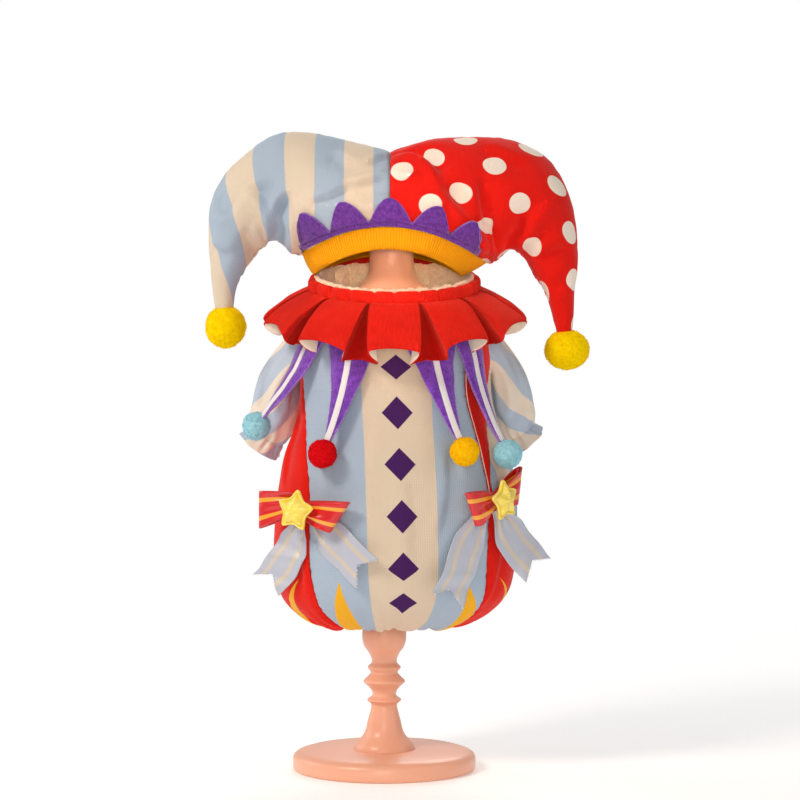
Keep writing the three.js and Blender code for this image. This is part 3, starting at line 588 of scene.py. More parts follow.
# The form inside the clothes, from below the hem up to the top of its head: ovals in mm
form = {
    "height": [
        111.9, 116, 127, 150, 200, 250, 280, 300, 314, 324,
        333, 344, 353, 357, 362, 372, 386, 399, 410, 414.5],
    "halfWidth": [12, 34, 47, 54, 56, 56, 53, 45, 35, 26, 17.5, 15, 16.5, 28, 42, 50, 48, 38, 20, 4],
    "halfDepth": [12, 27, 37, 43, 45, 45, 42, 35, 28, 22, 17, 15, 16.5, 25, 37, 43, 40, 30, 15, 3],
    "middle": [1, 3, 5, 6, 7, 7, 7, 6, 5.5, 5.2, 5, 5, 5, 5.5, 6, 6, 6, 6, 6, 6],
}


def ovalRings(middle, halfWidth, halfDepth, height, around):
    turn = np.arange(around) * tau / around
    middle, halfWidth, halfDepth, height = (
        np.asarray(column, float)[:, None] for column in (middle, halfWidth, halfDepth, height))
    return point(middle + halfWidth * np.sin(turn), -halfDepth * np.cos(turn), height)


def turnedRings(radius, height, around):
    radius = np.maximum(radius, stand["axisRadius"])
    return ovalRings(np.zeros(len(radius)), radius, radius, height, around)


def formRings(rows, around):
    t = np.linspace(0, 1, rows)
    columns = [readColumn(form[name], t) for name in ("middle", "halfWidth", "halfDepth", "height")]
    return ovalRings(*columns, around)


place(addLoft("form_body_smooth", formRings(150, 96), pinkLacquer), "pink_lacquer", "form_body")
postProfile = [readColumn(column, np.linspace(0, 1, 260)) for column in zip(*stand["post"])]
place(addLoft("stand_post_turned", turnedRings(*postProfile, 72), pinkLacquer), "pink_lacquer", "stand_post")
footRings = turnedRings(*np.array(stand["foot"], float).T, 128)
place(addLoft("stand_foot_turned", footRings, pinkLacquer), "pink_lacquer", "stand_foot")
print("stand and form made")


# Romper: ovals from the neckline down to the hem, which turns under, and where the seams run on each

romper = {
    "wall": 1.2,
    # the cloth that its creases are laid out on: mm per degree round it, and mm from neck to hem
    "perDegree": 1.36, "long": 285,
    "height": [324.7, 306, 284, 267, 250, 231, 212, 188, 163, 141, 121, 107, 98.6, 96.5, 101],
    "halfWidth": [55, 60, 64.5, 64.5, 65.5, 70, 77, 81, 82.3, 82, 78, 67, 53, 41, 33],
    "halfDepth": [44.6, 49.5, 54, 56, 57.5, 60, 63, 65, 66, 65.5, 61, 52, 42, 34, 28],
    "middle": [6.9, 7.1, 7.5, 7.8, 8.1, 8.4, 8.8, 8.6, 7.6, 7, 6.5, 6, 5, 4, 3],
    "frontLeft": [-100, -100, -100, -80, -72, -61, -52, -46, -44, -43, -42, -44, -45, -46, -46],
    "frontRight": [54, 51, 48, 46, 46, 48, 47, 49, 49, 49, 51, 54, 56, 57, 57],
    "backLeft": [-100, -100, -100, -118, -118, -118, -116, -115, -115, -115, -115, -115, -115, -115, -115],
    "backRight": [92, 90, 88, 80, 70, 61, 54, 53, 74, 104, 114, 116, 116, 116, 116],
    # where the printed strip and its diamonds are centred, in degrees from the front
    "strip": [0.5, 0.5, 0.4, 0.3, 0.4, 0.8, 1.3, 2.2, 3.4, 4.2, 4.7, 5, 5, 4.4, 4],
    # how much lower the neckline is in front than at the sides, and how far down its tilt reaches
    "neckTilt": 12.2, "tiltTo": 0.28,
    "fullestRow": 0.57,
    "panelRows": 150, "seamGap": 0.15,
}
# The gathered hem: waves round it and their depth, where they begin, and the tuck in front, in degrees and mm
hem = {"gathers": 14, "phase": 0.9, "depth": 2.4, "from": 0.68, "tuckAt": 3, "tuckHalf": 5, "tuckDepth": 4.5}
# Creases: from (degrees, row) to (degrees, row), then bend, width and depth in mm, and the soft side
romperCreases = [
    (-38, 0.36, -30, 0.62, 3, 7, 1.6, 1),
    (-14, 0.30, -17, 0.55, -2, 8, 1.3, -1),
    (27, 0.40, 20, 0.60, 3, 7, 1.5, 1),
    (36, 0.33, 30, 0.47, -2, 6, 1.4, -1),
    (6, 0.45, 10, 0.66, 2, 9, 1.1, 1),
    (-58, 0.48, -50, 0.72, 4, 7, 1.8, -1),
    (-75, 0.30, -66, 0.50, -4, 7, 1.6, 1),
    (62, 0.55, 55, 0.78, 3, 7, 1.7, 1),
    (88, 0.44, 80, 0.68, 4, 8, 1.7, -1),
    (112, 0.35, 106, 0.62, -3, 9, 1.8, 1),
    (139, 0.30, 143, 0.58, 3, 9, 1.7, -1),
    (163, 0.36, 158, 0.66, -3, 8, 1.5, 1),
    (186, 0.28, 190, 0.52, 2, 9, 1.6, 1),
    (204, 0.42, 199, 0.7, 3, 8, 1.5, -1),
    (226, 0.33, 229, 0.60, -3, 9, 1.7, 1),
    (247, 0.38, 242, 0.66, 3, 8, 1.6, -1),
]


def romperRow(name, v):
    return readColumn(romper[name], v)


def romperPoint(degrees, v):
    turn = np.radians(degrees)
    nearHem = ease((v - hem["from"]) / (1 - hem["from"]))
    gather = hem["depth"] * (1 - np.cos(hem["gathers"] * turn + hem["phase"])) / 2
    tuck = hem["tuckDepth"] * np.exp(-((degrees - hem["tuckAt"]) / hem["tuckHalf"]) ** 2)
    inwards = nearHem * (gather + tuck)
    tilted = romper["neckTilt"] * np.cos(turn) * (1 - ease(v / romper["tiltTo"]))
    return point(
        romperRow("middle", v) + (romperRow("halfWidth", v) - inwards) * np.sin(turn),
        -(romperRow("halfDepth", v) - inwards) * np.cos(turn),
        romperRow("height", v) - tilted + nearHem * gather * 0.8)


# A place on the romper, `lift` mm off it
def offRomper(degrees, v, lift):
    degrees, v = np.broadcast_arrays(np.asarray(degrees, float), np.asarray(v, float))
    across = romperPoint(degrees + 0.5, v) - romperPoint(degrees - 0.5, v)
    down = romperPoint(degrees, np.minimum(v + 0.01, 1)) - romperPoint(degrees, np.maximum(v - 0.01, 0))
    return romperPoint(degrees, v) + unit(np.cross(down, across)) * np.asarray(lift)[..., None]


# How far round the flat cloth a place is from the middle of the printed strip, in mm. Below the fullest row
# the cloth is gathered, so it stays as wide as it is there.
def acrossRomper(degrees, v):
    rowAt = v[:, 0]
    samples = np.arange(-180, 400, 2.0)
    turn = np.radians(samples)
    wholeTurn = 180  # how many of the samples go once round
    lengths = []
    for halfWidth, halfDepth in zip(romperRow("halfWidth", rowAt), romperRow("halfDepth", rowAt)):
        speed = np.hypot(halfWidth * np.cos(turn), halfDepth * np.sin(turn))
        lengths.append(np.concatenate([[0], np.cumsum((speed[1:] + speed[:-1]) / 2 * np.diff(turn))]))
    fullest = lengths[int(round(np.interp(romper["fullestRow"], rowAt, np.arange(len(rowAt)))))]
    result = np.zeros_like(degrees)
    for row, length in enumerate(lengths):
        if rowAt[row] > romper["fullestRow"]:
            length = length * fullest[wholeTurn] / length[wholeTurn]
        start = np.interp(romperRow("strip", rowAt[row]), samples, length)
        result[row] = np.interp(degrees[row], samples, length) - start
    return result


# How far down the flat cloth a row of the romper is, in mm
def downRomper(v):
    fine = np.linspace(0, 1, 400)
    steps = np.hypot(np.diff(romperRow("height", fine)), np.diff(romperRow("halfDepth", fine)))
    return np.interp(v, fine, np.concatenate([[0], np.cumsum(steps)]))


armhole = {"degrees": 100, "halfDegrees": 19, "row": 0.147, "halfRow": 0.075, "sewn": 1.12, "sunk": 0.7}


# Puckers that the hem's elastic draws up: folds that are deepest at the hem and die out above it
def hemPuckers(degrees, v):
    near = ease((v - 0.66) / 0.3)
    lobes = unevenWave(degrees, 24, 5) * 1.5 + unevenWave(degrees, 9.5, 8) * 0.9
    fine = unevenWave(degrees, 4.6, 9) * 0.55 * ease((v - 0.86) / 0.12)
    return near * lobes + fine


# A seam draws the cloth in and puckers it a little along both sides.
def seamSurface(fromSeam, along, seed):
    dip = 1.1 * np.exp(-(fromSeam / 2.2) ** 2)
    puckers = 0.35 * np.exp(-np.abs(fromSeam) / 5) * unevenWave(along, 7.5, seed)
    return -dip + puckers


# Creases with their places in mm, where 1 across is `wide` mm and 1 down is `long` mm
def creasesInMm(creases, wide, long):
    return [(a0 * wide, b0 * long, a1 * wide, b1 * long, *rest) for a0, b0, a1, b1, *rest in creases]


# How far the romper's cloth stands off its smooth shape, between two seams
def panelSurface(degrees, v, fromSeam, toSeam):
    around, along = degrees * romper["perDegree"], v * romper["long"]
    lift = creaseDepth(around, along, creasesInMm(romperCreases, romper["perDegree"], romper["long"]))
    lift = lift + hemPuckers(degrees, v)
    lift = lift + 0.35 * clouds(point(around, along, 3.0), 26, 4)
    lift = lift + 0.16 * clouds(point(around, along, 9.0), 9, 6)
    mmPerDegree = np.radians(romperRow("halfDepth", v))
    for seam, seed in ((fromSeam, 21), (toSeam, 22)):
        lift = lift + seamSurface((degrees - seam) * mmPerDegree, along, seed)
    return lift


# The same away from any seam
def plainSurface(degrees, v):
    return panelSurface(degrees, v, degrees - 60, degrees + 60)


# Moves points outwards where they would sink into the romper, so that they clear its cloth by `gap` mm.
def clearOfRomper(points, gap):
    flat = points.reshape(-1, 3)
    fine = np.linspace(0.05, 0.93, 200)
    v = np.interp(-flat[:, 2], -romperRow("height", fine), fine)
    middle, halfWidth, halfDepth = (romperRow(name, v) for name in ("middle", "halfWidth", "halfDepth"))
    degrees = np.degrees(np.arctan2((flat[:, 0] - middle) / halfWidth, -flat[:, 1] / halfDepth))
    seams = [romperRow(name, v) for name in ("frontLeft", "frontRight")]
    cloth = offRomper(degrees, v, panelSurface(degrees, v, *seams))
    reach = np.hypot(cloth[:, 0] - middle, cloth[:, 1]) + gap
    now = np.hypot(flat[:, 0] - middle, flat[:, 1])
    grow = np.maximum(reach / now, 1)
    flat = point(middle + (flat[:, 0] - middle) * grow, flat[:, 1] * grow, flat[:, 2])
    return flat.reshape(points.shape)


# Each panel's cloth, the seams it runs between, the table's row it starts at, and its flat cut in metres
panels = {
    "front_panel": {
        "cloth": frontCotton, "slot": "printed_cotton", "seams": ("frontLeft", "frontRight"),
        "columns": 128, "top": 0, "flat": (0.19, 0.27), "area": 0.036},
    "side_panel_left": {
        "cloth": redCotton, "slot": "red_cotton", "seams": ("backLeft", "frontLeft"),
        "columns": 72, "top": 2, "flat": (0.1, 0.23), "area": 0.0165},
    "side_panel_right": {
        "cloth": redCotton, "slot": "red_cotton", "seams": ("frontRight", "backRight"),
        "columns": 56, "top": 0, "flat": (0.1, 0.27), "area": 0.011},
    "back_panel": {
        "cloth": backCotton, "slot": "striped_cotton", "seams": ("backRight", "backLeft"),
        "columns": 150, "top": 0, "flat": (0.27, 0.27), "area": 0.0555},
}


# Moves the points near an armhole onto its edge; gives the new points and which squares lie inside it.
def cutArmholes(degrees, v):
    inHole = np.zeros(degrees.shape, bool)
    for side, turned in ((-1, 0), (-1, 360), (1, 0), (1, 360)):
        middle = turned + side * armhole["degrees"]
        a = (degrees - middle) / armhole["halfDegrees"]
        b = (v - armhole["row"]) / armhole["halfRow"]
        far = np.hypot(a, b)
        within = far < 1.07
        onEdge = within & (far > 0.9)
        degrees = np.where(onEdge, middle + a / far * armhole["halfDegrees"], degrees)
        v = np.where(onEdge, armhole["row"] + b / far * armhole["halfRow"], v)
        inHole |= within
    return degrees, v, inHole[:-1, :-1] & inHole[1:, :-1] & inHole[:-1, 1:] & inHole[1:, 1:]


for panelName, panel in panels.items():
    rows, isBack = romper["panelRows"], panelName == "back_panel"
    v = mix(panel["top"] / (len(romper["height"]) - 1), 1, np.linspace(0, 1, rows))[:, None]
    halfGap = np.degrees(romper["seamGap"] / romperRow("halfDepth", v))
    fromSeam, toSeam = (romperRow(seam, v) for seam in panel["seams"])
    toSeam = toSeam + 360 * isBack
    degrees = mix(fromSeam + halfGap, toSeam - halfGap, np.linspace(0, 1, panel["columns"])[None])
    v = np.broadcast_to(v, degrees.shape).copy()
    across = acrossRomper(degrees, v)
    if isBack:  # its stripes run straight down from the neck, so they are laid out from the back
        backMiddle = acrossRomper(np.full((rows, 1), 180.0), v[:, :1])
        across = across - backMiddle + backMiddle[int(0.45 * rows)]
    places = clothPlaces(across, downRomper(v))
    degrees, v, gone = cutArmholes(degrees, v)
    grid = offRomper(degrees, v, panelSurface(degrees, v, fromSeam, toSeam))
    piece = addCloth(panelName + "_cloth", grid, romper["wall"], [panel["cloth"], creamLining], places,
                     gone=gone)
    place(piece, panel["slot"], panelName)

# The pale seam edge that stands up along the right seam of the front: its rows, radius and lift in mm
seamEdge = {"rows": (0.02, 0.5), "radius": 0.32, "lift": 0.1}
v = np.linspace(*seamEdge["rows"], 140)
seam = romperRow("frontRight", v)
path = offRomper(seam, v, seamEdge["lift"] + plainSurface(seam, v))
outward = unit(path - point(romperRow("middle", v), 0, path[:, 2]))
sideways = np.cross(unit(np.gradient(path, axis=0)), outward)
turn = (np.arange(8) * tau / 8)[None, :, None]
aroundCord = np.cos(turn) * sideways[:, None] + np.sin(turn) * outward[:, None]
cord = path[:, None] + seamEdge["radius"] * aroundCord
place(addLoft("front_seam_edge_right", cord, creamLining), "printed_cotton")
print("romper made")


# Sleeves: lantern puffs sewn round the armholes, drawn in by elastic above a short flounce

sleeve = {
    "wall": 1.1,
    # the cloth that its creases are laid out on and the cloth that its stripes are printed on, in mm
    "girth": 108, "long": 78, "printGirth": 126, "printLong": 86,
    # its middle line from the armhole to the hem, and half its size across it, in mm
    "out": [74, 79, 83, 86, 89, 92.5, 97.5],
    "back": [9, 14, 20, 26, 29, 31, 33],
    "height": [286, 275, 261, 247, 236, 228, 221],
    "acrossBack": [20, 20, 20, 20, 17, 12.5, 16],
    "acrossUp": [14, 13.5, 15, 16.5, 16.5, 13, 15.5],
    "elasticRow": 0.835,
    "rows": 74, "around": 112,
    # each side's shift along X, how far it droops and where its stripes start, in mm, and how far they slant
    # round it per mm down
    "sides": {
        "right": {"side": 1, "shift": 0, "droop": 0, "firstStripe": 32, "slant": 0.8},
        "left": {"side": -1, "shift": 11, "droop": 3, "firstStripe": -11, "slant": -0.8},
    },
}
# Creases: from (share round, row) to (share round, row), then bend, width and depth in mm, and the soft side
sleeveCreases = [
    (0.30, 0.12, 0.38, 0.52, 3, 6, 2.0, 1),
    (0.44, 0.16, 0.52, 0.60, -4, 7, 2.2, -1),
    (0.58, 0.10, 0.62, 0.45, 3, 6, 1.8, 1),
    (0.66, 0.40, 0.58, 0.78, -3, 6, 1.9, 1),
    (0.14, 0.15, 0.20, 0.55, 3, 6, 1.9, -1),
    (0.86, 0.10, 0.80, 0.50, -3, 6, 1.8, 1),
    (0.97, 0.30, 0.91, 0.74, 3, 6, 1.8, -1),
    (0.38, 0.58, 0.34, 0.80, 2, 5, 1.6, 1),
]


# The sleeve's sewn edge: wider than the armhole and sunk into the romper's cloth, so that no cut edge shows
def armholeRing(side, share):
    cosine, sine = np.cos(tau * share), np.sin(tau * share)
    degrees = side * (armhole["degrees"] + armhole["sewn"] * armhole["halfDegrees"] * cosine)
    v = armhole["row"] - armhole["sewn"] * armhole["halfRow"] * sine
    return offRomper(degrees, v, plainSurface(degrees, v) - armhole["sunk"])


# How far the sleeve's cloth stands off its smooth shape: creases, puckers at the armhole and the elastic,
# the elastic's own furrow, the flounce's waves and soft unevenness
def sleeveSurface(side, share, v):
    around, down = share * sleeve["girth"] + 0 * v, v * sleeve["long"] + 0 * share
    fromElastic = v - sleeve["elasticRow"]
    atArmhole = ease(v / 0.06) * (1 - ease(v / 0.34)) * unevenWave(around, 10.5, 31 + side)
    atElastic = 1.35 * unevenWave(around, 8.2, 41 + side) + 0.5 * unevenWave(around, 4.1, 43 + side)
    lift = creaseDepth(around, down, creasesInMm(sleeveCreases, sleeve["girth"], sleeve["long"]))
    lift = lift + 1.1 * atArmhole
    lift = lift + np.exp(-(fromElastic / 0.115) ** 2) * atElastic
    lift = lift - 1.3 * np.exp(-(fromElastic / 0.016) ** 2)
    lift = lift + 1.5 * ease((v - 0.87) / 0.13) * unevenWave(around, 21, 47 + side)
    return lift + 0.9 * clouds(point(around, down, side * 20.0 + 40), 19, 51) * ease(v / 0.2)


def sleeveGrid(side, shift, droop):
    v = np.linspace(0, 1, sleeve["rows"])[:, None]
    share = (np.arange(sleeve["around"]) / sleeve["around"])[None]

    def middle(t):
        x = side * readColumn(sleeve["out"], t) + shift
        return point(x, readColumn(sleeve["back"], t), readColumn(sleeve["height"], t) - droop * t)

    along = unit(middle(np.minimum(v + 0.04, 1)) - middle(np.maximum(v - 0.04, 0)))
    backwards = unit(np.array([0, 1.0, 0]) - along * along[..., 1:2])
    upwards = np.cross(along, backwards) * side
    toBack = readColumn(sleeve["acrossBack"], v) * np.cos(tau * share)
    toTop = readColumn(sleeve["acrossUp"], v) * np.sin(tau * share)
    free = middle(v) + backwards * toBack[..., None] + upwards * toTop[..., None]
    sewn = armholeRing(side, share)
    grid = sewn + (free - sewn) * ease(v / 0.3)[..., None]
    return grid + unit(grid - middle(v)) * sleeveSurface(side, share, v)[..., None]


# Printed in the same stripes as the back; they run down the sleeve.
for sideName, made in sleeve["sides"].items():
    side, shift = made["side"], made["shift"]
    share = (np.arange(sleeve["around"] + 1) / sleeve["around"])[None]
    down = np.linspace(0, sleeve["printLong"], sleeve["rows"])[:, None]
    across = side * (share - 0.5) * sleeve["printGirth"] + made["firstStripe"] + made["slant"] * down
    piece = addCloth(f"sleeve_{sideName}_cloth", sleeveGrid(side, shift, made["droop"]), sleeve["wall"],
                     [sleeveCotton, creamLining], clothPlaces(across, down),
                     wraps=True, inside=(side * 88 + shift, 22, 252))
    place(piece, "striped_cotton", f"sleeve_{sideName}")
print("sleeves made")


# Collar: a folded rib band drawn in by its stitching, a fleece lining inside the neck, a box-pleated ruffle

# The neckline is tilted: `tilt` mm lower in front than at the sides.
neck = {"middle": 6.9, "tilt": 12.2}
collarBand = {
    "halfWidth": 57.5, "halfDepth": 47, "wall": 0.9, "low": 325, "high": 333.5, "backRise": 9,
    "swell": 3.1, "sectionRows": 22, "around": 360, "wale": 1.25, "course": 1.9,
    # its flat cut in mm
    "long": 331, "wide": 24,
    # where the stitching draws the band in, in degrees from the front
    "nips": [
        -65, -47.9, -30.9, -13.8, 0.2, 17.5, 31.2, 48.4, 66, 84,
        103, 120, 139, 158, 176, 193, 212, 230, 249, 268],
}
lining = {
    "inset": 4.6, "rise": 0.5, "backFall": 2, "drop": 18.5, "wall": 3, "rows": 34, "around": 300,
    "long": 310, "wide": 27,
}
ruffle = {
    "halfWidth": 86.5, "halfDepth": 75, "low": 300, "tilt": 16.5, "sag": 5, "wide": 42,
    "pleats": 11, "perPleat": 44, "rows": 32,
    # its thickness under the band and at the hem, and the row from which its inner face shows its lining
    "wall": (0.3, 1.0), "linedFrom": 9,
    # painted shade: a darker red begins this far from a pleat's middle, as a share of its width
    "paintedShadeFrom": 0.26,
    # one pleat at the hem: across it as a share of its width; how far it stands out and hangs down, in mm
    "across": [
        -0.5, -0.36, -0.265, -0.25, -0.29, -0.332, -0.31, -0.15, 0,
        0.15, 0.31, 0.332, 0.29, 0.25, 0.265, 0.36, 0.5],
    "out": [-11.5, -11, -8.6, -4.2, 0.2, 3.1, 4.1, 2.4, 1.4, 2.4, 4.1, 3.1, 0.2, -4.2, -8.6, -11, -11.5],
    "drop": [3.6, 4.8, 5.6, 5.2, 3.2, 0, -2.2, -4.2, -4.6, -4, -2, 0.4, 3.4, 5.4, 5.6, 4.6, 3.6],
    # the same at the top, where the folds lie flat under the band
    "topAcross": [
        -0.5, -0.49, -0.475, -0.465, -0.462, -0.468, -0.45, -0.2, 0,
        0.2, 0.45, 0.468, 0.462, 0.465, 0.475, 0.49, 0.5],
    "topOut": [-1.7, -1.7, -1.5, -0.9, 0.1, 1.0, 1.1, 0.8, 0.7, 0.8, 1.1, 1.0, 0.1, -0.9, -1.5, -1.7, -1.7],
}


def neckPoint(turn, out, height):
    sine, cosine = np.sin(turn), np.cos(turn)
    x = neck["middle"] + (collarBand["halfWidth"] + out) * sine
    return point(x, -(collarBand["halfDepth"] + out) * cosine, height - neck["tilt"] * cosine)


# 1 at the back of the neck, falling to 0 at its sides
def atBackOfNeck(turn):
    return np.maximum(0, -np.cos(turn)) ** 3


# Red rib knit: fine upright wales, a brushed bloom, and painted shade that makes it darker in the furrows
# between the wales; its streaks and lumps are the yarn's own uneven tone.
def redRibMaterial(name, colour):
    material, tree = newTree(name)
    across, down = clothPlace(tree)
    height = weaveHeight(across, down, collarBand["wale"], collarBand["course"], 0.14)
    streaks = stretchedNoise(tree, across, down, 0.9, 6)
    lumps = cloudyNumber(tree, 12, 3)
    colour = shaded(tree, linear(colour), height * 0.14 + streaks * 0.4 + lumps * 0.2 + 0.56)
    closeMaterial(tree, colour, {
        "Roughness": 0.95, "Sheen Weight": 0.35, "Sheen Roughness": 0.4, "Sheen Tint": linear("#ff6a50"),
        "Specular IOR Level": 0.1}, height + streaks * 0.8, 0.3)
    return material


# Fleece: curled off-white pile with no shine at all, painted warm tan where it is deep: painted shade, warmed
# as if by light thrown off the red and yellow cloth.
def fleeceMaterial():
    material, tree = newTree("sherpaFleece")
    curls = cloudyNumber(tree, 1.6, 3)
    lumps = cloudyNumber(tree, 6, 2)
    # the warm tan is painted shade and bounced light; the pale curl tops are the fleece's own colour
    colour = layColours(tree, "#e4ac7a", [((curls * 1.6 - 0.3).limited(), "#fff0dc")])
    closeMaterial(tree, colour, {
        "Roughness": 1.0, "Sheen Weight": 0.5, "Sheen Roughness": 0.6, "Specular IOR Level": 0.1},
        curls + lumps, 0.35)
    return material


redRib = redRibMaterial("redRibKnit", "#dc2016")
# A darker copy of the red rib for the deep folds of the ruffle: its colour is painted shade
redRibPaintedShade = redRibMaterial("redRibKnitPaintedShade", "#b4120b")
sherpa = fleeceMaterial()


# A rounded section all the way round: the cloth swells between the stitched nips and is drawn in at each.
def collarBandGrid():
    turn = np.arange(collarBand["around"]) * tau / collarBand["around"]
    section = np.linspace(math.radians(128), math.radians(-128), collarBand["sectionRows"])[:, None]
    nip, pillow = np.zeros(len(turn)), np.ones(len(turn))
    for number, at in enumerate(collarBand["nips"]):
        away = (np.degrees(turn) - at + 180) % 360 - 180
        nip = nip + (1.35 + 0.5 * math.sin(number * 2.3)) * np.exp(-np.abs(away / 1.2) ** 1.5)
        pillow = pillow - np.exp(-(away / 4.6) ** 2)
    puff = 0.3 * unevenWave(np.degrees(turn), 17, 61) + 0.95 * pillow - nip
    swell = np.sign(np.cos(section)) * np.abs(np.cos(section)) ** 0.85 * collarBand["swell"]
    upwards = np.sign(np.sin(section)) * np.abs(np.sin(section)) ** 0.75
    rise = collarBand["backRise"] * atBackOfNeck(turn)
    halfHeight = (collarBand["high"] + rise - collarBand["low"]) / 2 + 0.3 - 0.45 * nip
    height = collarBand["low"] - 0.1 + halfHeight + upwards * halfHeight
    return neckPoint(turn[None], swell + puff[None] * np.cos(section / 2) - 2.5, height)


# Places on the flat cut of a band that goes once round in `around` columns
def bandPlaces(band, around, rows):
    along = np.arange(around + 1) * band["long"] / around
    return clothPlaces(along[None], np.linspace(0, band["wide"], rows)[:, None])


places = bandPlaces(collarBand, collarBand["around"], collarBand["sectionRows"])
piece = addCloth("collar_band_cloth", collarBandGrid(), collarBand["wall"], [redRib], places,
                 wraps=True, inside=(7, 0, 328))
place(piece, "red_rib", "collar_band")


# The fleece stands up behind the band with an uneven curly edge.
def liningGrid():
    v = np.linspace(0, 1, lining["rows"])[:, None]
    turn = (np.arange(lining["around"]) * tau / lining["around"])[None]
    atTop = np.exp(-v * 12)
    uneven = 1.1 * clouds(point(60 * np.cos(turn), 60 * np.sin(turn), 5.0 + 0 * v), 3.2, 71)
    top = collarBand["high"] + lining["rise"] - lining["backFall"] * atBackOfNeck(turn)
    height = mix(top, collarBand["low"] - lining["drop"], v) + atTop * uneven
    grid = neckPoint(turn, 1.9 * atTop - lining["inset"], height)
    outwards = unit((grid - [neck["middle"], 0, 0]) * [1, 1, 0])
    curl = 0.55 * clouds(grid, 3.6, 72) + 0.25 * clouds(grid, 1.9, 73)
    return grid - outwards * (0.5 + curl)[..., None]


places = bandPlaces(lining, lining["around"], lining["rows"])
piece = addCloth("neck_lining_fleece", liningGrid(), lining["wall"], [sherpa], places,
                 wraps=True, inside=(7, 0, 320))
place(piece, "fleece", "neck_lining")
print("collar band and lining made")


# Every pleat is a little different from the next: how far its edges, its stand and its hem stray.
def ruffleGrid():
    rng = np.random.default_rng(81)
    count, perPleat = ruffle["pleats"], ruffle["perPleat"]
    share = np.arange(count * perPleat) / perPleat
    pleat = np.floor(share + 0.5).astype(int) % count
    t = (share + 0.5) % 1
    strayWidth, strayOut, strayTurn, strayDrop, straySlant = rng.uniform(-1, 1, (5, count))[:, pleat]
    onPleat = np.abs(t - 0.5) < 0.36
    across, out, drop, topAcross, topOut = (
        readColumn(ruffle[name], t) for name in ("across", "out", "drop", "topAcross", "topOut"))
    across = across * (1 + 0.09 * strayWidth * onPleat)
    out = out + onPleat * (1.0 * strayOut + 2.2 * strayTurn * (t - 0.5))
    drop = drop + onPleat * (0.9 * strayDrop + 3.0 * straySlant * (t - 0.5))
    v = np.linspace(0, 1, ruffle["rows"])[:, None]
    turn = (pleat + mix(topAcross, across, v ** 0.9)) * tau / count
    low = ruffle["low"] - ruffle["tilt"] * np.cos(turn) - ruffle["sag"] * np.cos(2 * turn) - drop
    high = collarBand["low"] + 1.2 - neck["tilt"] * np.cos(turn)
    off = out * v ** np.where(out < 0, 0.85, 1.1) + topOut * (1 - v) - 1.8 * np.exp(-v / 0.035)
    bulge = 1.3 * np.sin(math.pi * v) * onPleat
    halfWidth, halfDepth = (
        mix(collarBand[name] - 0.6, ruffle[name], v ** 0.85) + off + bulge
        for name in ("halfWidth", "halfDepth"))
    x, y = neck["middle"] + halfWidth * np.sin(turn), -halfDepth * np.cos(turn)
    grid = point(x, y, mix(high, low, v ** 1.12))
    soft = 1.2 * clouds(grid, 15, 82) + 0.45 * clouds(grid, 6, 83)
    outwards = point(np.sin(turn), -np.cos(turn), 0 * turn)
    hemRoll = 0.5 * np.exp(-((1 - v) / 0.03) ** 2)
    return grid + outwards * (soft * ease(v / 0.3) - hemRoll)[..., None]


# The squares of the outer face that lie deep in the folds take the darker red copy, which is painted shade.
def paintFoldShade(piece):
    squares = ruffle["pleats"] * ruffle["perPleat"]
    share = (np.arange(squares) + 0.5) / ruffle["perPleat"]
    inFold = np.abs((share + 0.5) % 1 - 0.5) > ruffle["paintedShadeFrom"]
    kinds = np.zeros(len(piece.data.polygons), np.int32)
    piece.data.polygons.foreach_get("material_index", kinds)
    squareRows = ruffle["rows"] - 1
    kinds[:squareRows * squares] = np.tile(inFold, squareRows) * 2
    piece.data.polygons.foreach_set("material_index", kinds)


grid = ruffleGrid()
down = np.linspace(0, 1, ruffle["rows"])
places = clothPlaces(alongPath(grid[-1], closed=True)[None], ruffle["wide"] * down[:, None])
thickness = mix(*ruffle["wall"], ease(down / 0.7))[:, None, None]
piece = addCloth("collar_ruffle_cloth", grid, thickness, [redRib, creamLining, redRibPaintedShade], places,
                 wraps=True, inside=(7, 0, 250), linedFrom=ruffle["linedFrom"])
paintFoldShade(piece)
place(piece, "red_rib", "collar_ruffle")
print("ruffle made")


# Hat: two horns sewn together down the middle

# Where the middle seam is along X, half the gap between the halves, and how many points each half has
hatShape = {"seam": 4, "wall": 1.3, "gap": 0.08, "along": 120, "up": 72}
# The oval that the hat stands on: how high it is, how much lower in front, how much it arches over the front
# and back and how much it leans to the right
rim = {
    "middle": 6.6, "halfWidth": 62.6, "halfDepth": 45, "high": 356.8, "tilt": -2.5, "arch": 10, "roll": -3.5,
}
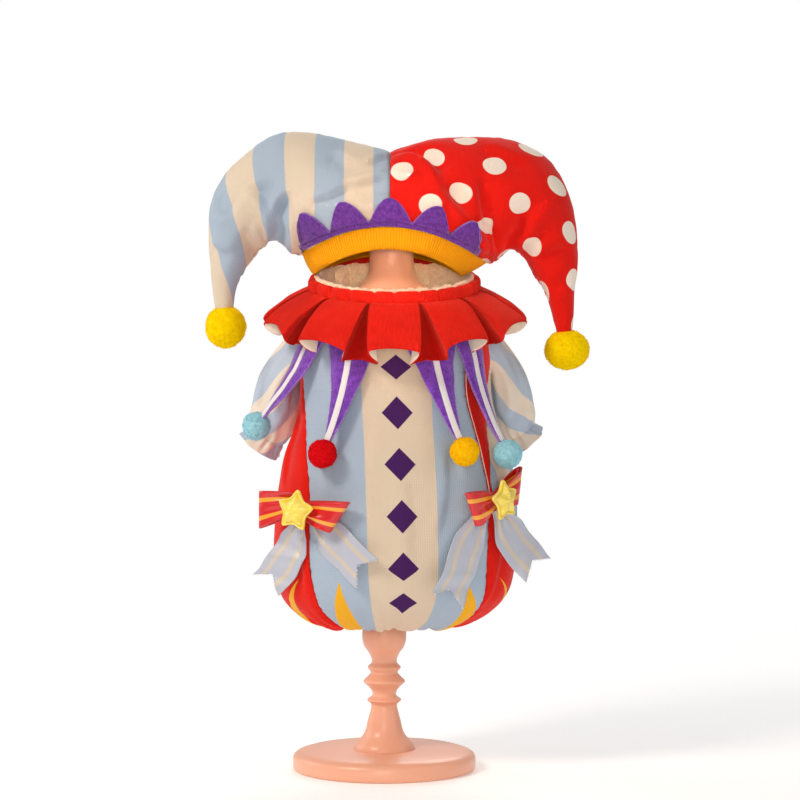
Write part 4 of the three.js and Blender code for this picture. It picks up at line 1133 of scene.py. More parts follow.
# Each horn has stations from the middle seam to its tip. The first four stand on the rim, `rim` degrees round
# from the front, and the others have a low edge of their own.
horns = {
    "striped": {
        "side": -1,
        "rim": [2.4, 33, 57, 90],
        "lowX": [-63.4, -70.2, -76.4, -82.5, -89.3, -99.2, -103.3],
        "lowZ": [350.2, 356.7, 359.1, 355.3, 346.3, 330.5, 309.5],
        "ridgeX": [4, -26.7, -51, -70.2, -84.5, -97, -108.3, -116.3, -119.3, -118.2, -114.6],
        "ridgeZ": [418.9, 426.4, 431.8, 432.4, 426.4, 416.2, 404.4, 388.3, 369.9, 344.1, 309.5],
        "halfDepth": [35, 38, 40, 38, 35, 32, 28, 24, 19.5, 12, 6.5],
        "turn": 20, "creaseDepth": 2.0, "ball": (-107.8, 0, 299.9), "ballRadii": (14.6, 14.6, 15.4),
    },
    "dotted": {
        "side": 1,
        "rim": [-2.4, 23, 49, 90],
        "lowX": [76, 82.8, 86.8, 90.9, 96.4, 102.5, 110, 117.8],
        "lowZ": [344.6, 350, 352.1, 350.9, 344.1, 332.5, 319.6, 294.5],
        "ridgeX": [4, 31.1, 56, 78, 95, 109.8, 121.6, 129.1, 132.4, 132.4, 130.2, 127.6],
        "ridgeZ": [418.9, 427, 429, 428.4, 423.9, 414.9, 400.2, 383.5, 361.8, 338.6, 320.6, 294.5],
        "halfDepth": [35, 37, 39, 38, 35, 33, 30, 26, 21, 16, 11.5, 6.5],
        "turn": -30, "creaseDepth": 1.6, "ball": (124.2, 0, 284.4), "ballRadii": (16.3, 15, 14.7),
    },
}


def rimPoint(degrees):
    turn = np.radians(degrees)
    sine, cosine = np.sin(turn), np.cos(turn)
    height = rim["high"] + rim["tilt"] * cosine + rim["arch"] * np.cos(2 * turn) + rim["roll"] * sine
    return point(rim["middle"] + rim["halfWidth"] * sine, -rim["halfDepth"] * cosine, height)


# face is 1 on the front and -1 on the back; s runs from the middle seam to the tip, rise from the low edge to
# the ridge
def hornPoint(horn, face, s, rise):
    s, rise = np.broadcast_arrays(np.asarray(s, float), np.asarray(rise, float))

    def onRim(rimAt):
        return rimPoint(horn["side"] * (rimAt if face > 0 else 180 - rimAt))

    beyond = point(np.array(horn["lowX"]), 0.0, np.array(horn["lowZ"]))
    lows = np.concatenate([onRim(np.array(horn["rim"], float)), beyond])
    at = s * (len(lows) - 1)
    low = np.stack([readColumn(lows[:, k], s, True) for k in range(3)], -1)
    low = np.where((at < 3)[..., None], onRim(np.interp(at, range(4), horn["rim"])), low)
    ridge = point(readColumn(horn["ridgeX"], s, True), 0, readColumn(horn["ridgeZ"], s, True))
    middle = low + (ridge - low) * rise[..., None]
    halfDepth = readColumn(horn["halfDepth"], s)
    depth = np.sqrt(np.maximum(low[..., 1] ** 2 * (1 - rise) + 4 * halfDepth ** 2 * rise * (1 - rise), 0))
    return point(middle[..., 0], -face * np.maximum(depth, hatShape["gap"]), middle[..., 2])


# Where a grid of s and rise lies on the flat cloth: the cloth turns as the horn droops.
def hornPlaces(horn, face, s, rise):
    grid = hornPoint(horn, face, s, rise)
    steps = np.linalg.norm(np.diff(grid, axis=0), axis=-1)
    reach = np.concatenate([np.zeros((1, grid.shape[1])), np.cumsum(steps, 0)])
    half = np.array([np.interp(0.5, rise[:, c], reach[:, c]) for c in range(grid.shape[1])])
    middle = hornPoint(horn, face, s[0], 0.5)[:, [0, 2]]
    upwards = (hornPoint(horn, face, s[0], 0.9) - hornPoint(horn, face, s[0], 0.1))[:, [0, 2]]
    upwards = upwards / np.linalg.norm(upwards, axis=1, keepdims=True)
    turn = np.radians(horn["turn"]) * ease((s[0] - 0.1) / 0.75)

    def turnBack(vectors):
        return np.stack([vectors[:, 0] * np.cos(turn) + vectors[:, 1] * np.sin(turn),
                         vectors[:, 1] * np.cos(turn) - vectors[:, 0] * np.sin(turn)], -1)

    path = np.cumsum(turnBack(np.diff(middle, axis=0, prepend=middle[:1])), 0) + [0, middle[0, 1]]
    return path[None] + turnBack(upwards)[None] * (reach - half)[..., None]


# A half's grid of s and rise: it closes over the crown with one edge and over the horn with two.
def hornSteps(horn):
    u = np.linspace(0, 1, hatShape["along"])[None]
    v = np.linspace(0, 1, hatShape["up"])[:, None]
    crownEnd = 3 / (len(horn["ridgeX"]) - 1)
    rise = mix(np.sin(math.pi / 2 * v), (1 - np.cos(math.pi * v)) / 2, ease(u / crownEnd))
    return np.broadcast_to(u, rise.shape), rise


# Creases on the flat cloth of each half: from (across, up) to (across, up), then bend, width and depth in mm,
# and the soft side
hatCreases = {
    ("striped", "front"): [
        (-54, 378, -24, 393, 2.5, 6, 2.4, 1), (-26, 391, -1, 399, 1, 5, 2.0, 1),
        (-15, 409, -1, 424, 1, 4, 1.4, 1), (-22, 378, -1, 384, -1, 5, 1.5, -1),
        (-66, 390, -80, 347, 6, 6.5, 3.2, -1),
        (-92, 398, -81, 368, -3, 8, 2.2, -1), (-104, 372, -94, 341, 2, 8, 1.8, 1),
        (-40, 420, -20, 404, 2, 8, 1.2, 1), (-118, 400, -104, 384, 3, 8, 1.4, -1),
        (-132, 372, -118, 356, 2, 6, 1.2, 1),
    ],
    ("striped", "back"): [
        (-48, 390, -16, 384, 3, 7, 2.2, -1), (-24, 408, -2, 416, 1, 5, 1.6, 1),
        (-60, 396, -78, 352, 4, 7, 2.8, -1), (-88, 402, -96, 366, -4, 8, 2.4, 1),
        (-34, 424, -8, 396, 3, 8, 1.6, -1), (-112, 390, -100, 350, 3, 8, 1.8, 1),
    ],
    ("dotted", "front"): [
        (10, 428, 37, 396, -5, 8, 4.0, -1), (34, 399, 82, 346, 3, 9, 5.2, -1),
        (60, 402, 79, 348, 3, 7.5, 3.6, -1), (97, 379, 82, 342, -3, 8, 2.8, 1),
        (1, 400, 22, 392, 1, 5, 1.0, 1), (58, 424, 92, 410, 3, 9, 1.4, 1),
        (104, 392, 94, 366, 4, 9, 1.8, 1), (134, 372, 118, 350, 3, 8, 1.6, -1),
        (146, 352, 134, 338, 2, 6, 1.2, 1),
    ],
    ("dotted", "back"): [
        (12, 420, 52, 388, 5, 9, 3.4, 1), (46, 396, 84, 350, -4, 8, 4.0, 1),
        (66, 410, 86, 366, 4, 8, 2.6, -1), (100, 388, 88, 346, -3, 8, 2.6, 1),
        (30, 384, 56, 372, 2, 7, 1.8, -1), (118, 384, 108, 352, 3, 8, 1.8, -1),
    ],
}
# Cloth that the main crease of the dotted front takes in: the print beyond the line through these places
# moves by `hidden` mm, and so does all of it past `endsAt`. Near the middle seam it moves less: `grows` is
# where that begins and over how many mm it comes to all of it.
hatTuck = {
    "hidden": 15, "up": [350, 368, 388, 404, 424], "across": [74, 56, 37, 32, 14], "grows": (10, 45),
    "endsAt": 80,
}
# The hat's stripes are a little narrower than the romper's.
hatStripes = {"narrower": 1.08, "shift": 32.8}
dotPrint = {"radius": 7.5, "first": (7.9, 403.7), "steps": ((21.1, 22.8), (18.8, -25.3))}


# White dots on a leaning lattice
def dotPattern(across, down):
    (ax, ay), (bx, by) = dotPrint["steps"]
    size = ax * by - ay * bx
    fromX, fromY = across - dotPrint["first"][0], down - dotPrint["first"][1]
    stepsA = fromX * (by / size) - fromY * (bx / size)
    stepsB = fromY * (ax / size) - fromX * (ay / size)
    leftA, leftB = stepsA - stepsA.step("ROUND"), stepsB - stepsB.step("ROUND")
    offX, offY = leftA * ax + leftB * bx, leftA * ay + leftB * by
    distance = (offX * offX + offY * offY).step("SQRT")
    return [((distance - dotPrint["radius"]).inside(), "#f7eadc")]


dottedCotton = cottonMaterial("printedCottonDotted", "#e4180c", dotPattern)
horns["striped"].update(cloth=stripedCotton, slot="striped_cotton")
horns["dotted"].update(cloth=dottedCotton, slot="dotted_cotton")


# How far a half's cloth stands off its smooth shape: creases, the middle seam, puckers along both edges and
# soft unevenness, all dying out towards the ball
def hatSurface(horn, face, s, grid, across, up, creases):
    lift = horn["creaseDepth"] * creaseDepth(across, up, creases)
    if face > 0:  # the felt crown and the band hold the cloth flat near the rim
        overRim = grid[..., 2] - rimPoint(90 * horn["side"])[2]
        nearRim = np.clip(1 - (overRim - 14) / 26, 0, 1) * (grid[..., 0] * horn["side"] < 62)
        lift = lift * (1 - 0.85 * ease(nearRim * 1.6))
    fromSeam = np.abs(grid[..., 0] - hatShape["seam"])
    lift = lift - 1.1 * np.exp(-(fromSeam / 2.2) ** 2)
    lift = lift + 0.55 * np.exp(-fromSeam / 7) * unevenWave(up, 10, 91)
    fromLow = np.linspace(0, 1, hatShape["up"])[:, None] + 0 * s
    lift = lift + 0.7 * np.exp(-fromLow / 0.09) * unevenWave(across, 7, 92 + face)
    lift = lift + 0.6 * np.exp(-(1 - fromLow) / 0.05) * (unevenWave(across, 8, 93 + face) - 1)
    lift = lift + 1.5 * clouds(grid, 42, 94) + 0.6 * clouds(grid, 17, 95) + 0.16 * clouds(grid, 7, 96)
    return lift * (1 - 0.75 * ease((s - 0.85) / 0.15))


# Where the print lies: the striped half's is narrower, and the dotted front's loses what its crease takes in.
def hatPrint(hornName, face, across, up):
    if hornName == "striped":
        return clothPlaces(across * hatStripes["narrower"] + hatStripes["shift"], up)
    if face < 0:
        return clothPlaces(across, up)
    beyond = (across - np.interp(up, hatTuck["up"], hatTuck["across"])) * 0.7
    pastCrease = ease((np.where(across > hatTuck["endsAt"], 9, beyond) + 2) / 4)
    start, over = hatTuck["grows"]
    return clothPlaces(across, up + hatTuck["hidden"] * pastCrease * ease((across - start) / over))


for hornName, horn in horns.items():
    side = horn["side"]
    seamX = hatShape["seam"] + side * hatShape["gap"]
    s, rise = hornSteps(horn)
    for faceName, face in (("front", 1), ("back", -1)):
        grid = hornPoint(horn, face, s, rise)
        grid[:, 0, 0] = seamX
        across, up = np.moveaxis(hornPlaces(horn, face, s, rise), -1, 0)
        lift = hatSurface(horn, face, s, grid, across, up, hatCreases[hornName, faceName])
        grid = grid + gridNormals(grid, False, np.array([side * 60, 0, 390.0])) * lift[..., None]
        # neither half passes the middle seam, nor the seam between front and back
        grid[:, 0, 0] = seamX
        grid[..., 0] = side * np.maximum(side * grid[..., 0], side * seamX)
        grid[..., 1] = -face * np.maximum(-face * grid[..., 1], hatShape["gap"])
        piece = addCloth(f"hat_{faceName}_{hornName}_cloth", grid, hatShape["wall"],
                         [horn["cloth"], creamLining], hatPrint(hornName, face, across, up),
                         inside=(side * 60, 0, 390))
        place(piece, horn["slot"], f"hat_{faceName}_{hornName}")
print("hat halves made")


# Hat band: yellow rib folded double, its lower edge turned in
hatBand = {
    "wall": 1.2, "around": 420, "rows": 18, "long": 340, "wide": 20, "rib": 1.7, "course": 0.9,
    # its height, how much shorter it is at the right and taller at the back, and how far it draws in, in mm
    "height": 14.6, "rightShorter": 6, "backDrop": 4, "pull": 7, "rightPull": 8.5,
    # from its top to its turned-in edge: how far down it each row is, and how far in, in mm
    "shares": [0, 0.72, 0.82, 0.9, 1], "down": [0, 0.93, 1, 0.99, 0.86], "in": [0, 0.1, 1.1, 2.3, 2.5],
}


# Yellow rib knit: strong round ribs at their real size, which shade themselves through the bump; the colour
# is also painted a darker orange between the ribs, as painted shade.
def hatRibMaterial():
    material, tree = newTree("yellowRibKnit")
    across, down = clothPlace(tree)
    rib = across.threads(hatBand["rib"]).step("POWER", 0.7)
    height = rib * 0.9 + down.threads(hatBand["course"]) * 0.1
    colour = layColours(tree, "#f7ae16", [((rib * -1.3 + 0.9).limited(), "#e88c00")])
    closeMaterial(tree, colour, {
        "Roughness": 0.95, "Sheen Weight": 0.2, "Sheen Tint": linear("#ffd040"), "Specular IOR Level": 0.1},
        height, 0.6)
    return material


def hatBandGrid():
    degrees = (np.arange(hatBand["around"]) * 360 / hatBand["around"])[None]
    t = np.linspace(0, 1, hatBand["rows"])[:, None]
    down, turnIn = (np.interp(t, hatBand["shares"], hatBand[name]) for name in ("down", "in"))
    atRight = np.maximum(0, np.sin(np.radians(degrees)))
    atBack = np.maximum(0, -np.cos(np.radians(degrees)))
    height = hatBand["height"] - hatBand["rightShorter"] * atRight ** 2 + hatBand["backDrop"] * atBack ** 2
    puff = 0.7 * np.sin(math.pi * np.clip(down, 0, 1))
    puff = puff + 0.35 * unevenWave(degrees, 19, 97) * np.sin(math.pi * down * 0.9)
    pull = hatBand["pull"] + hatBand["rightPull"] * atRight
    inwards = (pull * down + turnIn - puff) / rim["halfWidth"]
    x, y, z = np.moveaxis(rimPoint(degrees), -1, 0)
    return point(mix(x, rim["middle"], inwards), y * (1 - inwards * 1.1), z - 0.1 - height * down)


yellowRib = hatRibMaterial()
places = bandPlaces(hatBand, hatBand["around"], hatBand["rows"])
piece = addCloth("hat_band_cloth", hatBandGrid(), hatBand["wall"], [yellowRib], places,
                 wraps=True, inside=(6.6, 0, 345))
place(piece, "yellow_rib", "hat_band")


# Felt crown: a strip along the band with five rounded points
feltCrown = {
    "strip": 3.4, "foot": 1.2, "wall": 1.7, "lift": 0.9, "columnsEach": 40, "rows": 16,
    # each point runs between two angles; its height in mm, and where its tip stands from -1 to 1
    "points": [(-78, -42, 22, -0.55), (-42, -15, 21.7, -0.43), (-15, 11, 22, -0.04), (11, 36, 20.8, 0.46),
               (36, 64, 20, 0.65)],
}


# A place on the front of the hat, `height` mm up from the rim
def onHatFront(degrees, height):
    result = np.zeros(np.broadcast(degrees, height).shape + (3,))
    for horn in horns.values():
        at = degrees * horn["side"]
        s = np.interp(at, horn["rim"], range(4)) / (len(horn["ridgeX"]) - 1)
        tall = np.linalg.norm(hornPoint(horn, 1, s, 0 * s) - hornPoint(horn, 1, s, 0 * s + 1), axis=-1)
        there = hornPoint(horn, 1, s + 0 * height, height / tall)
        result = np.where((at >= horn["rim"][0])[..., None] & np.ones_like(result, bool), there, result)
    return result


# Wool felt: matt, mottled fibres, with paler fuzz along every cut edge. A point's second place on the flat
# cloth is how far in it is from the nearest edge.
def feltMaterial(name, colour, edgeColour, darker):
    material, tree = newTree(name)
    fromEdge = clothPlace(tree)[1]
    fibres = cloudyNumber(tree, 1.1, 4)
    mottle = cloudyNumber(tree, 2.8, 3)
    edge = (fromEdge * -1.1 + fibres * 1.6 - 0.05).limited()
    dark = (mottle * 2.2 - 0.85).limited()
    colour = layColours(tree, colour, [(dark, darker), (edge * 0.75, edgeColour)])
    colour = shaded(tree, colour, (fibres * 2.6 - 0.4).limited() * 0.7 + 0.42)
    closeMaterial(tree, colour, {
        "Roughness": 1.0, "Sheen Weight": 0.45, "Sheen Roughness": 0.5, "Specular IOR Level": 0.1},
        fibres + mottle * 0.5, 0.55)
    return material


purpleFelt = feltMaterial("purpleWoolFelt", "#7d42b8", "#b985e4", "#4d2282")
# A darker copy of the purple felt for the crown: its colours are painted shade
crownFeltPaintedShade = feltMaterial("purpleWoolFeltPaintedShade", "#6a369e", "#9a6cc8", "#431c72")
# Polyester sewing thread: dark against the felt, with a slight shine on each stitch
darkThread, threadTree = newTree("darkPurpleThread")
closeMaterial(threadTree, linear("#2c1050"), {"Roughness": 0.7})


# The crown's columns in degrees, and how high its points stand above the strip at each
def crownOutline():
    degrees = np.concatenate([
        np.linspace(start, end, feltCrown["columnsEach"], endpoint=False)
        for start, end, height, tip in feltCrown["points"]])
    degrees = np.append(degrees, feltCrown["points"][-1][1] - 0.01)
    peak = np.zeros(len(degrees))
    blunt = 0.12
    for start, end, height, tip in feltCrown["points"]:
        fromTip = 2 * (degrees - start) / (end - start) - 1 - tip
        across = np.abs(fromTip) / (1 - np.sign(fromTip) * tip)
        rounded = np.minimum((np.hypot(across, blunt) - blunt) / (np.hypot(1, blunt) - blunt), 1)
        inPoint = (degrees >= start) & (degrees < end)
        peak = np.where(inPoint, (1 - rounded ** 1.65) * (height - feltCrown["strip"] + 0.4), peak)
    return degrees, peak


degrees, peak = crownOutline()
t = np.linspace(0, 1, feltCrown["rows"])[:, None]
height = feltCrown["foot"] + (feltCrown["strip"] + peak)[None] * t
base = onHatFront(degrees[None] + 0 * t, height)
normals = gridNormals(base, False, np.array([4, 20, 350.0]))
curl = 0.9 * ((height - 4) / 14).clip(0, 1) ** 2 + 0.25 * clouds(base, 7, 98)
seamHeight = feltCrown["foot"] + feltCrown["strip"]
sewn = -0.45 * np.exp(-((height - seamHeight + 0.4) / 0.8) ** 2)
outerFace = feltCrown["lift"] + feltCrown["wall"]
grid = base + normals * (outerFace + curl + sewn)[..., None]
reach = alongPath(grid[0])
fromTop = (feltCrown["strip"] + peak)[None] * (1 - t) / np.hypot(1, np.gradient(peak, reach))[None]
piece = addCloth("hat_felt_crown_cloth", grid, feltCrown["wall"], [crownFeltPaintedShade],
                 clothPlaces(reach[None], np.minimum(fromTop, height)), inside=(4, 20, 350))
place(piece, "purple_felt", "hat_felt_crown")

# One row of stitches along the strip, which stops short of its ends
crownStitch = {"pitch": 2.1, "length": 1.7, "thickness": 0.55}
lifts = normals[4]  # the row of the crown that lies at the seam
stitched = onHatFront(degrees, np.full(len(degrees), seamHeight - 0.1)) + lifts * (outerFace - 0.15)
place(addStitches("hat_crown_stitches", stitched[3:-4], lifts[3:-4], **crownStitch, material=darkThread),
      "purple_felt")
print("hat band and crown made")


# Felt points: each hangs from under the ruffle to a ball, with a ribbon sewn down its middle

feltPoint = {
    "wall": 1.6, "ribbonHalf": 2.2, "ribbonWall": 0.5, "ballRadius": 10, "tipHalf": 2.2,
    "rows": 64, "columns": 22, "rootLift": 2.6,
    # where each root and ball is, in degrees and rows of the romper; the root's width and how far off the
    # romper the ball's middle is, in mm; the ball's colour
    "points": {
        "1": {"root": (-60, 0.09), "ball": (-80, 0.385), "width": 32, "lift": 25, "pile": "blue"},
        "2": {"root": (-26, 0.11), "ball": (-34.5, 0.424), "width": 35, "lift": 11, "pile": "red"},
        "3": {"root": (22, 0.11), "ball": (31, 0.42), "width": 34, "lift": 11, "pile": "gold"},
        "4": {"root": (49, 0.09), "ball": (57, 0.428), "width": 26, "lift": 11.2, "pile": "blue"},
    },
}
# each pile's lit tips and its shadow are painted colours
piles = {
    "yellow": {"tips": "#ffe60c", "shadow": "#f6d000"}, "blue": {"tips": "#b2e2ee", "shadow": "#90cad8"},
    "red": {"tips": "#e6121c", "shadow": "#cc0a14"}, "gold": {"tips": "#ffd218", "shadow": "#f8ba00"},
}
# How many fibres a pompom has and their length in mm: on the costume and on the hat
pompoms = {"small": {"count": 3600, "length": 1.2}, "big": {"count": 7000, "length": 1.5}}


# Wool pompom: a rubbed core under short bent fibres. Its colour is mottled between a painted shadow colour
# and paler tips, painted as the light catching them.
def pileMaterial(colourName):
    tips, shadow = piles[colourName]["tips"], piles[colourName]["shadow"]
    material, tree = newTree(colourName + "PompomPile")
    tufts = cloudyNumber(tree, 2.2, 4)
    closeMaterial(tree, layColours(tree, shadow, [((tufts * 2 - 0.6).limited(), tips)]), {
        "Roughness": 1.0, "Sheen Weight": 0.4, "Sheen Roughness": 0.5, "Sheen Tint": linear(tips),
        "Specular IOR Level": 0.05}, tufts, 0.3)
    return material


def addPompom(name, centre, radii, pile, count, length, seed):
    rng = np.random.default_rng(seed)
    radius = np.mean(radii)
    stretch = np.array(radii) / radius
    polar = np.linspace(0.02, math.pi - 0.02, 26)[:, None]
    turn = (np.arange(44) * tau / 44)[None]
    ball = point(np.sin(polar) * np.cos(turn), np.sin(polar) * np.sin(turn), np.cos(polar))
    lumps = 0.45 * clouds(ball * 20 + seed, 6, seed) + 0.25 * clouds(ball * 20, 2.6, seed)
    ball = ball * (radius * 0.93 + lumps)[..., None]
    core = addLoft(name + "_core", ball * stretch + centre, pile)
    ways = unit(rng.normal(size=(count, 3)))
    lumps = 0.45 * clouds(ways * 20 + seed, 6, seed)
    roots = ways * (radius * 0.9 + lumps)[:, None] * stretch + centre
    leaning = unit(ways * 0.8 + rng.normal(size=ways.shape) * 0.55)
    points, *faces = fibreParts(roots, leaning, length * rng.uniform(0.6, 1.15, count), 0.34, rng)
    return core, addMesh(name + "_fibres", points, faces, [pile])


# White grosgrain ribbon: fine cross ribs with a soft shine, painted a little darker between the ribs as
# painted shade.
def grosgrainMaterial():
    material, tree = newTree("whiteGrosgrain")
    height = clothPlace(tree)[1].threads(0.9)
    closeMaterial(tree, shaded(tree, linear("#f1eef0"), height * 0.1 + 0.9), {
        "Roughness": 0.55, "Sheen Weight": 0.2, "Specular IOR Level": 0.4}, height, 0.15)
    return material


pileMaterials = {name: pileMaterial(name) for name in piles}
grosgrain = grosgrainMaterial()


# A strip that follows a felt point's middle line, between two shares of the way t from its root to the ball
def feltStrip(route, t, halfWidth, columns):
    middle = route(t)
    along = unit(route(t + 0.01) - route(np.maximum(t - 0.01, 0)))
    outwards = unit(point(middle[:, 0] - neck["middle"], middle[:, 1] * 1.3, 0))[:, None]
    sideways = unit(np.cross(along, outwards[:, 0]))[:, None]
    across = np.linspace(-1, 1, columns)[None] * halfWidth[:, None]
    strip = middle[:, None] + sideways * across[..., None] - outwards * (across ** 2 / 110)[..., None]
    return strip, outwards, across, np.broadcast_to(alongPath(middle)[:, None], across.shape)


for number, made in feltPoint["points"].items():
    centre = offRomper(*made["ball"], made["lift"])

    def route(t):
        (rootAt, rootRow), (ballAt, ballRow) = made["root"], made["ball"]
        lift = mix(feltPoint["rootLift"], made["lift"] - 1, ease(t))
        return offRomper(mix(rootAt, ballAt, t ** 1.25), mix(rootRow, ballRow, t), lift)

    # the strip ends a little inside the ball
    tries = np.linspace(1, 0.5, 251)
    reach = tries[np.argmax(np.linalg.norm(route(tries) - centre, axis=1) > feltPoint["ballRadius"] - 1)]
    v = np.linspace(0, 1, feltPoint["rows"])
    halfWidth = mix(made["width"] / 2, feltPoint["tipHalf"], v ** 0.95)
    halfWidth = halfWidth * (1 + 0.03 * unevenWave(v * 80, 30, int(number)))
    strip, outwards, across, down = feltStrip(route, v * reach, halfWidth, feltPoint["columns"])
    edge = halfWidth[:, None] - np.abs(across)
    # the ribbon's stitching holds the middle down, and the cut edges are pressed thin
    puff = 1.1 * (1 - np.exp(-(np.abs(across) / 2.6) ** 2)) * (1 - np.exp(-(edge / 3.2) ** 2))
    grid = strip + outwards * (feltPoint["wall"] / 2 + puff + 0.2 * clouds(strip, 6, 101))[..., None]
    felt = addCloth(f"felt_point_{number}_cloth", clearOfRomper(grid, feltPoint["wall"] + 0.6),
                    feltPoint["wall"], [purpleFelt], clothPlaces(down, np.maximum(edge, 0)),
                    inside=(6.9, 0, 270))
    place(felt, "purple_felt", f"felt_point_{number}")
    feltLength = float(down.max())

    t = mix(0.02, 0.99, np.linspace(0, 1, 90)) * reach
    strip, outwards, across, down = feltStrip(route, t, np.full(90, feltPoint["ribbonHalf"]), 9)
    dome = 0.25 * (1 - (across / feltPoint["ribbonHalf"]) ** 2)
    grid = strip + outwards * (feltPoint["wall"] / 2 + 0.75 + dome)[..., None]
    ribbon = addCloth(f"felt_ribbon_{number}_cloth", clearOfRomper(grid, feltPoint["wall"] + 1.9),
                      feltPoint["ribbonWall"], [grosgrain], clothPlaces(across, down), inside=(6.9, 0, 270))
    place(ribbon, "white_ribbon", f"felt_ribbon_{number}")
    made["width"] / 1000
    round(0.62 * made["width"] * feltLength / 1e6, 5)

    core, fibres = addPompom(f"felt_ball_{number}", centre, [feltPoint["ballRadius"]] * 3,
                             pileMaterials[made["pile"]], **pompoms["small"], seed=110 + int(number))
    place(core, made["pile"] + "_pile", f"felt_ball_{number}")
    place(fibres, made["pile"] + "_pile")
for hornName, horn in horns.items():
    core, fibres = addPompom(f"hat_ball_{hornName}", horn["ball"], horn["ballRadii"],
                             pileMaterials["yellow"], **pompoms["big"], seed=120 + horn["side"])
    place(core, "yellow_pile", f"hat_ball_{hornName}")
    place(fibres, "yellow_pile")
print("felt points and pompoms made")


# Bows: two satin loops, two tails cut to a swallowtail and a padded glitter star

bow = {
    "lift": 9, "ribbon": 25, "loopWall": 0.7, "tailWall": 0.6, "swallowtail": 9,
    # half the ribbon's width where the knot gathers it
    "knotHalf": 5, "tailTopHalf": 4.4,
    # Each bow's place on the romper, the way it faces in degrees, and its loops and tails. A loop has the way
    # it goes, its length, how much further its top edge goes than its bottom one, how far above the middle it
    # starts and how far below it ends. A tail has the way it goes, its slant from straight down in degrees,
    # its length, how far it bows sideways and how many degrees it is turned about the knot.
    "bows": {
        "left": {
            "at": -43.5, "row": 0.53, "facing": -30, "starTurn": -10,
            "loops": [(-1, 32, 0, 5, 0.5), (1, 28, 15, 0, 4.2)],
            "tails": [(-1, 33, 53, 4, 0), (1, 51, 54.5, 0.5, 0)]},
        "right": {
            "at": 46, "row": 0.511, "facing": 52, "starTurn": 11,
            "loops": [(-1, 24, 12, 0, 5.5), (1, 26, 5, 0, -9)],
            "tails": [(-1, 27, 66, 0.5, -17), (1, 37.5, 52, 2, -29)]},
    },
    # where the two stripes lie from the ribbon's middle, and half their width
    "stripeAt": 6.2, "stripeHalf": 1.5,
}
# Its size, its place in front of the bow and its padding in mm; as shares of its size, its inner corners, the
# end of its padded middle and the rolled rim round that
star = {
    "radius": 15.6, "ahead": 7.6, "puff": 5.4,
    "inner": 0.5626, "padTo": 0.82, "rimAt": 0.91, "rimHalf": 0.095,
}
fray = {"count": 70, "length": (0.6, 2.2), "width": 0.3}


# Polyester satin: a close shine broken by faint cross threads, with two printed stripes along it.
def satinMaterial(name, colour, stripe, roughness):
    material, tree = newTree(name)
    across, down = clothPlace(tree)
    fromStripe = (across.step("ABSOLUTE") - bow["stripeAt"]).step("ABSOLUTE") - bow["stripeHalf"]
    closeMaterial(tree, layColours(tree, colour, [(fromStripe.inside(0.3), stripe)]), {
        "Roughness": roughness, "Specular IOR Level": 0.7, "Coat Weight": 0.2, "Coat Roughness": 0.25},
        down.threads(0.55), 0.012)
    return material


# Glitter fabric: small flakes, each a little lighter or darker and tilted its own way; the palest flakes are
# painted glints.
def glitterMaterial():
    material, tree = newTree("yellowGlitterFabric")
    spot = addNode(tree, "ShaderNodeTexCoord")
    flakes = addNode(tree, "ShaderNodeTexVoronoi", {"Vector": spot.outputs["Object"], "Scale": 1000 / 0.6})
    parts = addNode(tree, "ShaderNodeSeparateXYZ", {0: flakes.outputs["Color"]})
    bright, tilt = (ShaderNumber(tree, parts.outputs[k]) for k in (0, 1))
    colour = layColours(tree, "#f8dc3c", [((bright * 1.4 - 0.6).limited() * 0.6, "#fffad0")])
    closeMaterial(tree, colour, {"Roughness": 0.4, "Specular IOR Level": 0.6, "Metallic": 0.1}, tilt, 0.025)
    return material


redSatin = satinMaterial("redSatinRibbon", "#d60d14", "#f8a828", 0.24)
greySatin = satinMaterial("greySatinRibbon", "#b7bdcd", "#ccc2b4", 0.4)
glitter = glitterMaterial()
# Loose polyester threads: pale and soft, so that the cut ends look worn
frayThread, frayTree = newTree("frayedSatinThread")
closeMaterial(frayTree, linear("#e9e6ee"), {"Roughness": 0.6, "Sheen Weight": 0.3})


# A closed loop of ribbon, flattened: it goes out from the knot and comes back behind.
def loopGrid(way, length, skew, rise, droop, seed):
    turn = (np.arange(84) * tau / 84)[None]
    v = np.linspace(0, 1, 26)[:, None]
    along = (1 - np.cos(turn)) / 2
    layer = np.sign(np.sin(turn))
    swell = 5.2 * layer * np.abs(np.sin(turn)) ** 0.8 * (0.5 + 0.5 * along)
    half = mix(bow["knotHalf"], math.sqrt(bow["ribbon"] ** 2 - skew ** 2) / 2, along ** 0.7)
    # pleats that the knot draws up, dying out towards the loop's end
    pleats = unevenWave(v * 25 + 0 * turn, 12, seed) * 3.4 * (1 - along) ** 1.1 * ease(along * 5)
    wave = 2.4 * clouds(point(along * 30 + seed, v * 25, layer * 9 + 20), 11, 131) * along * (1.1 - along)
    x = way * (1.2 + (length + skew * (v - 0.5)) * along)
    return point(x, -(swell + (pleats + wave) * 0.8), mix(-half, half, v) + mix(rise, -droop, along))


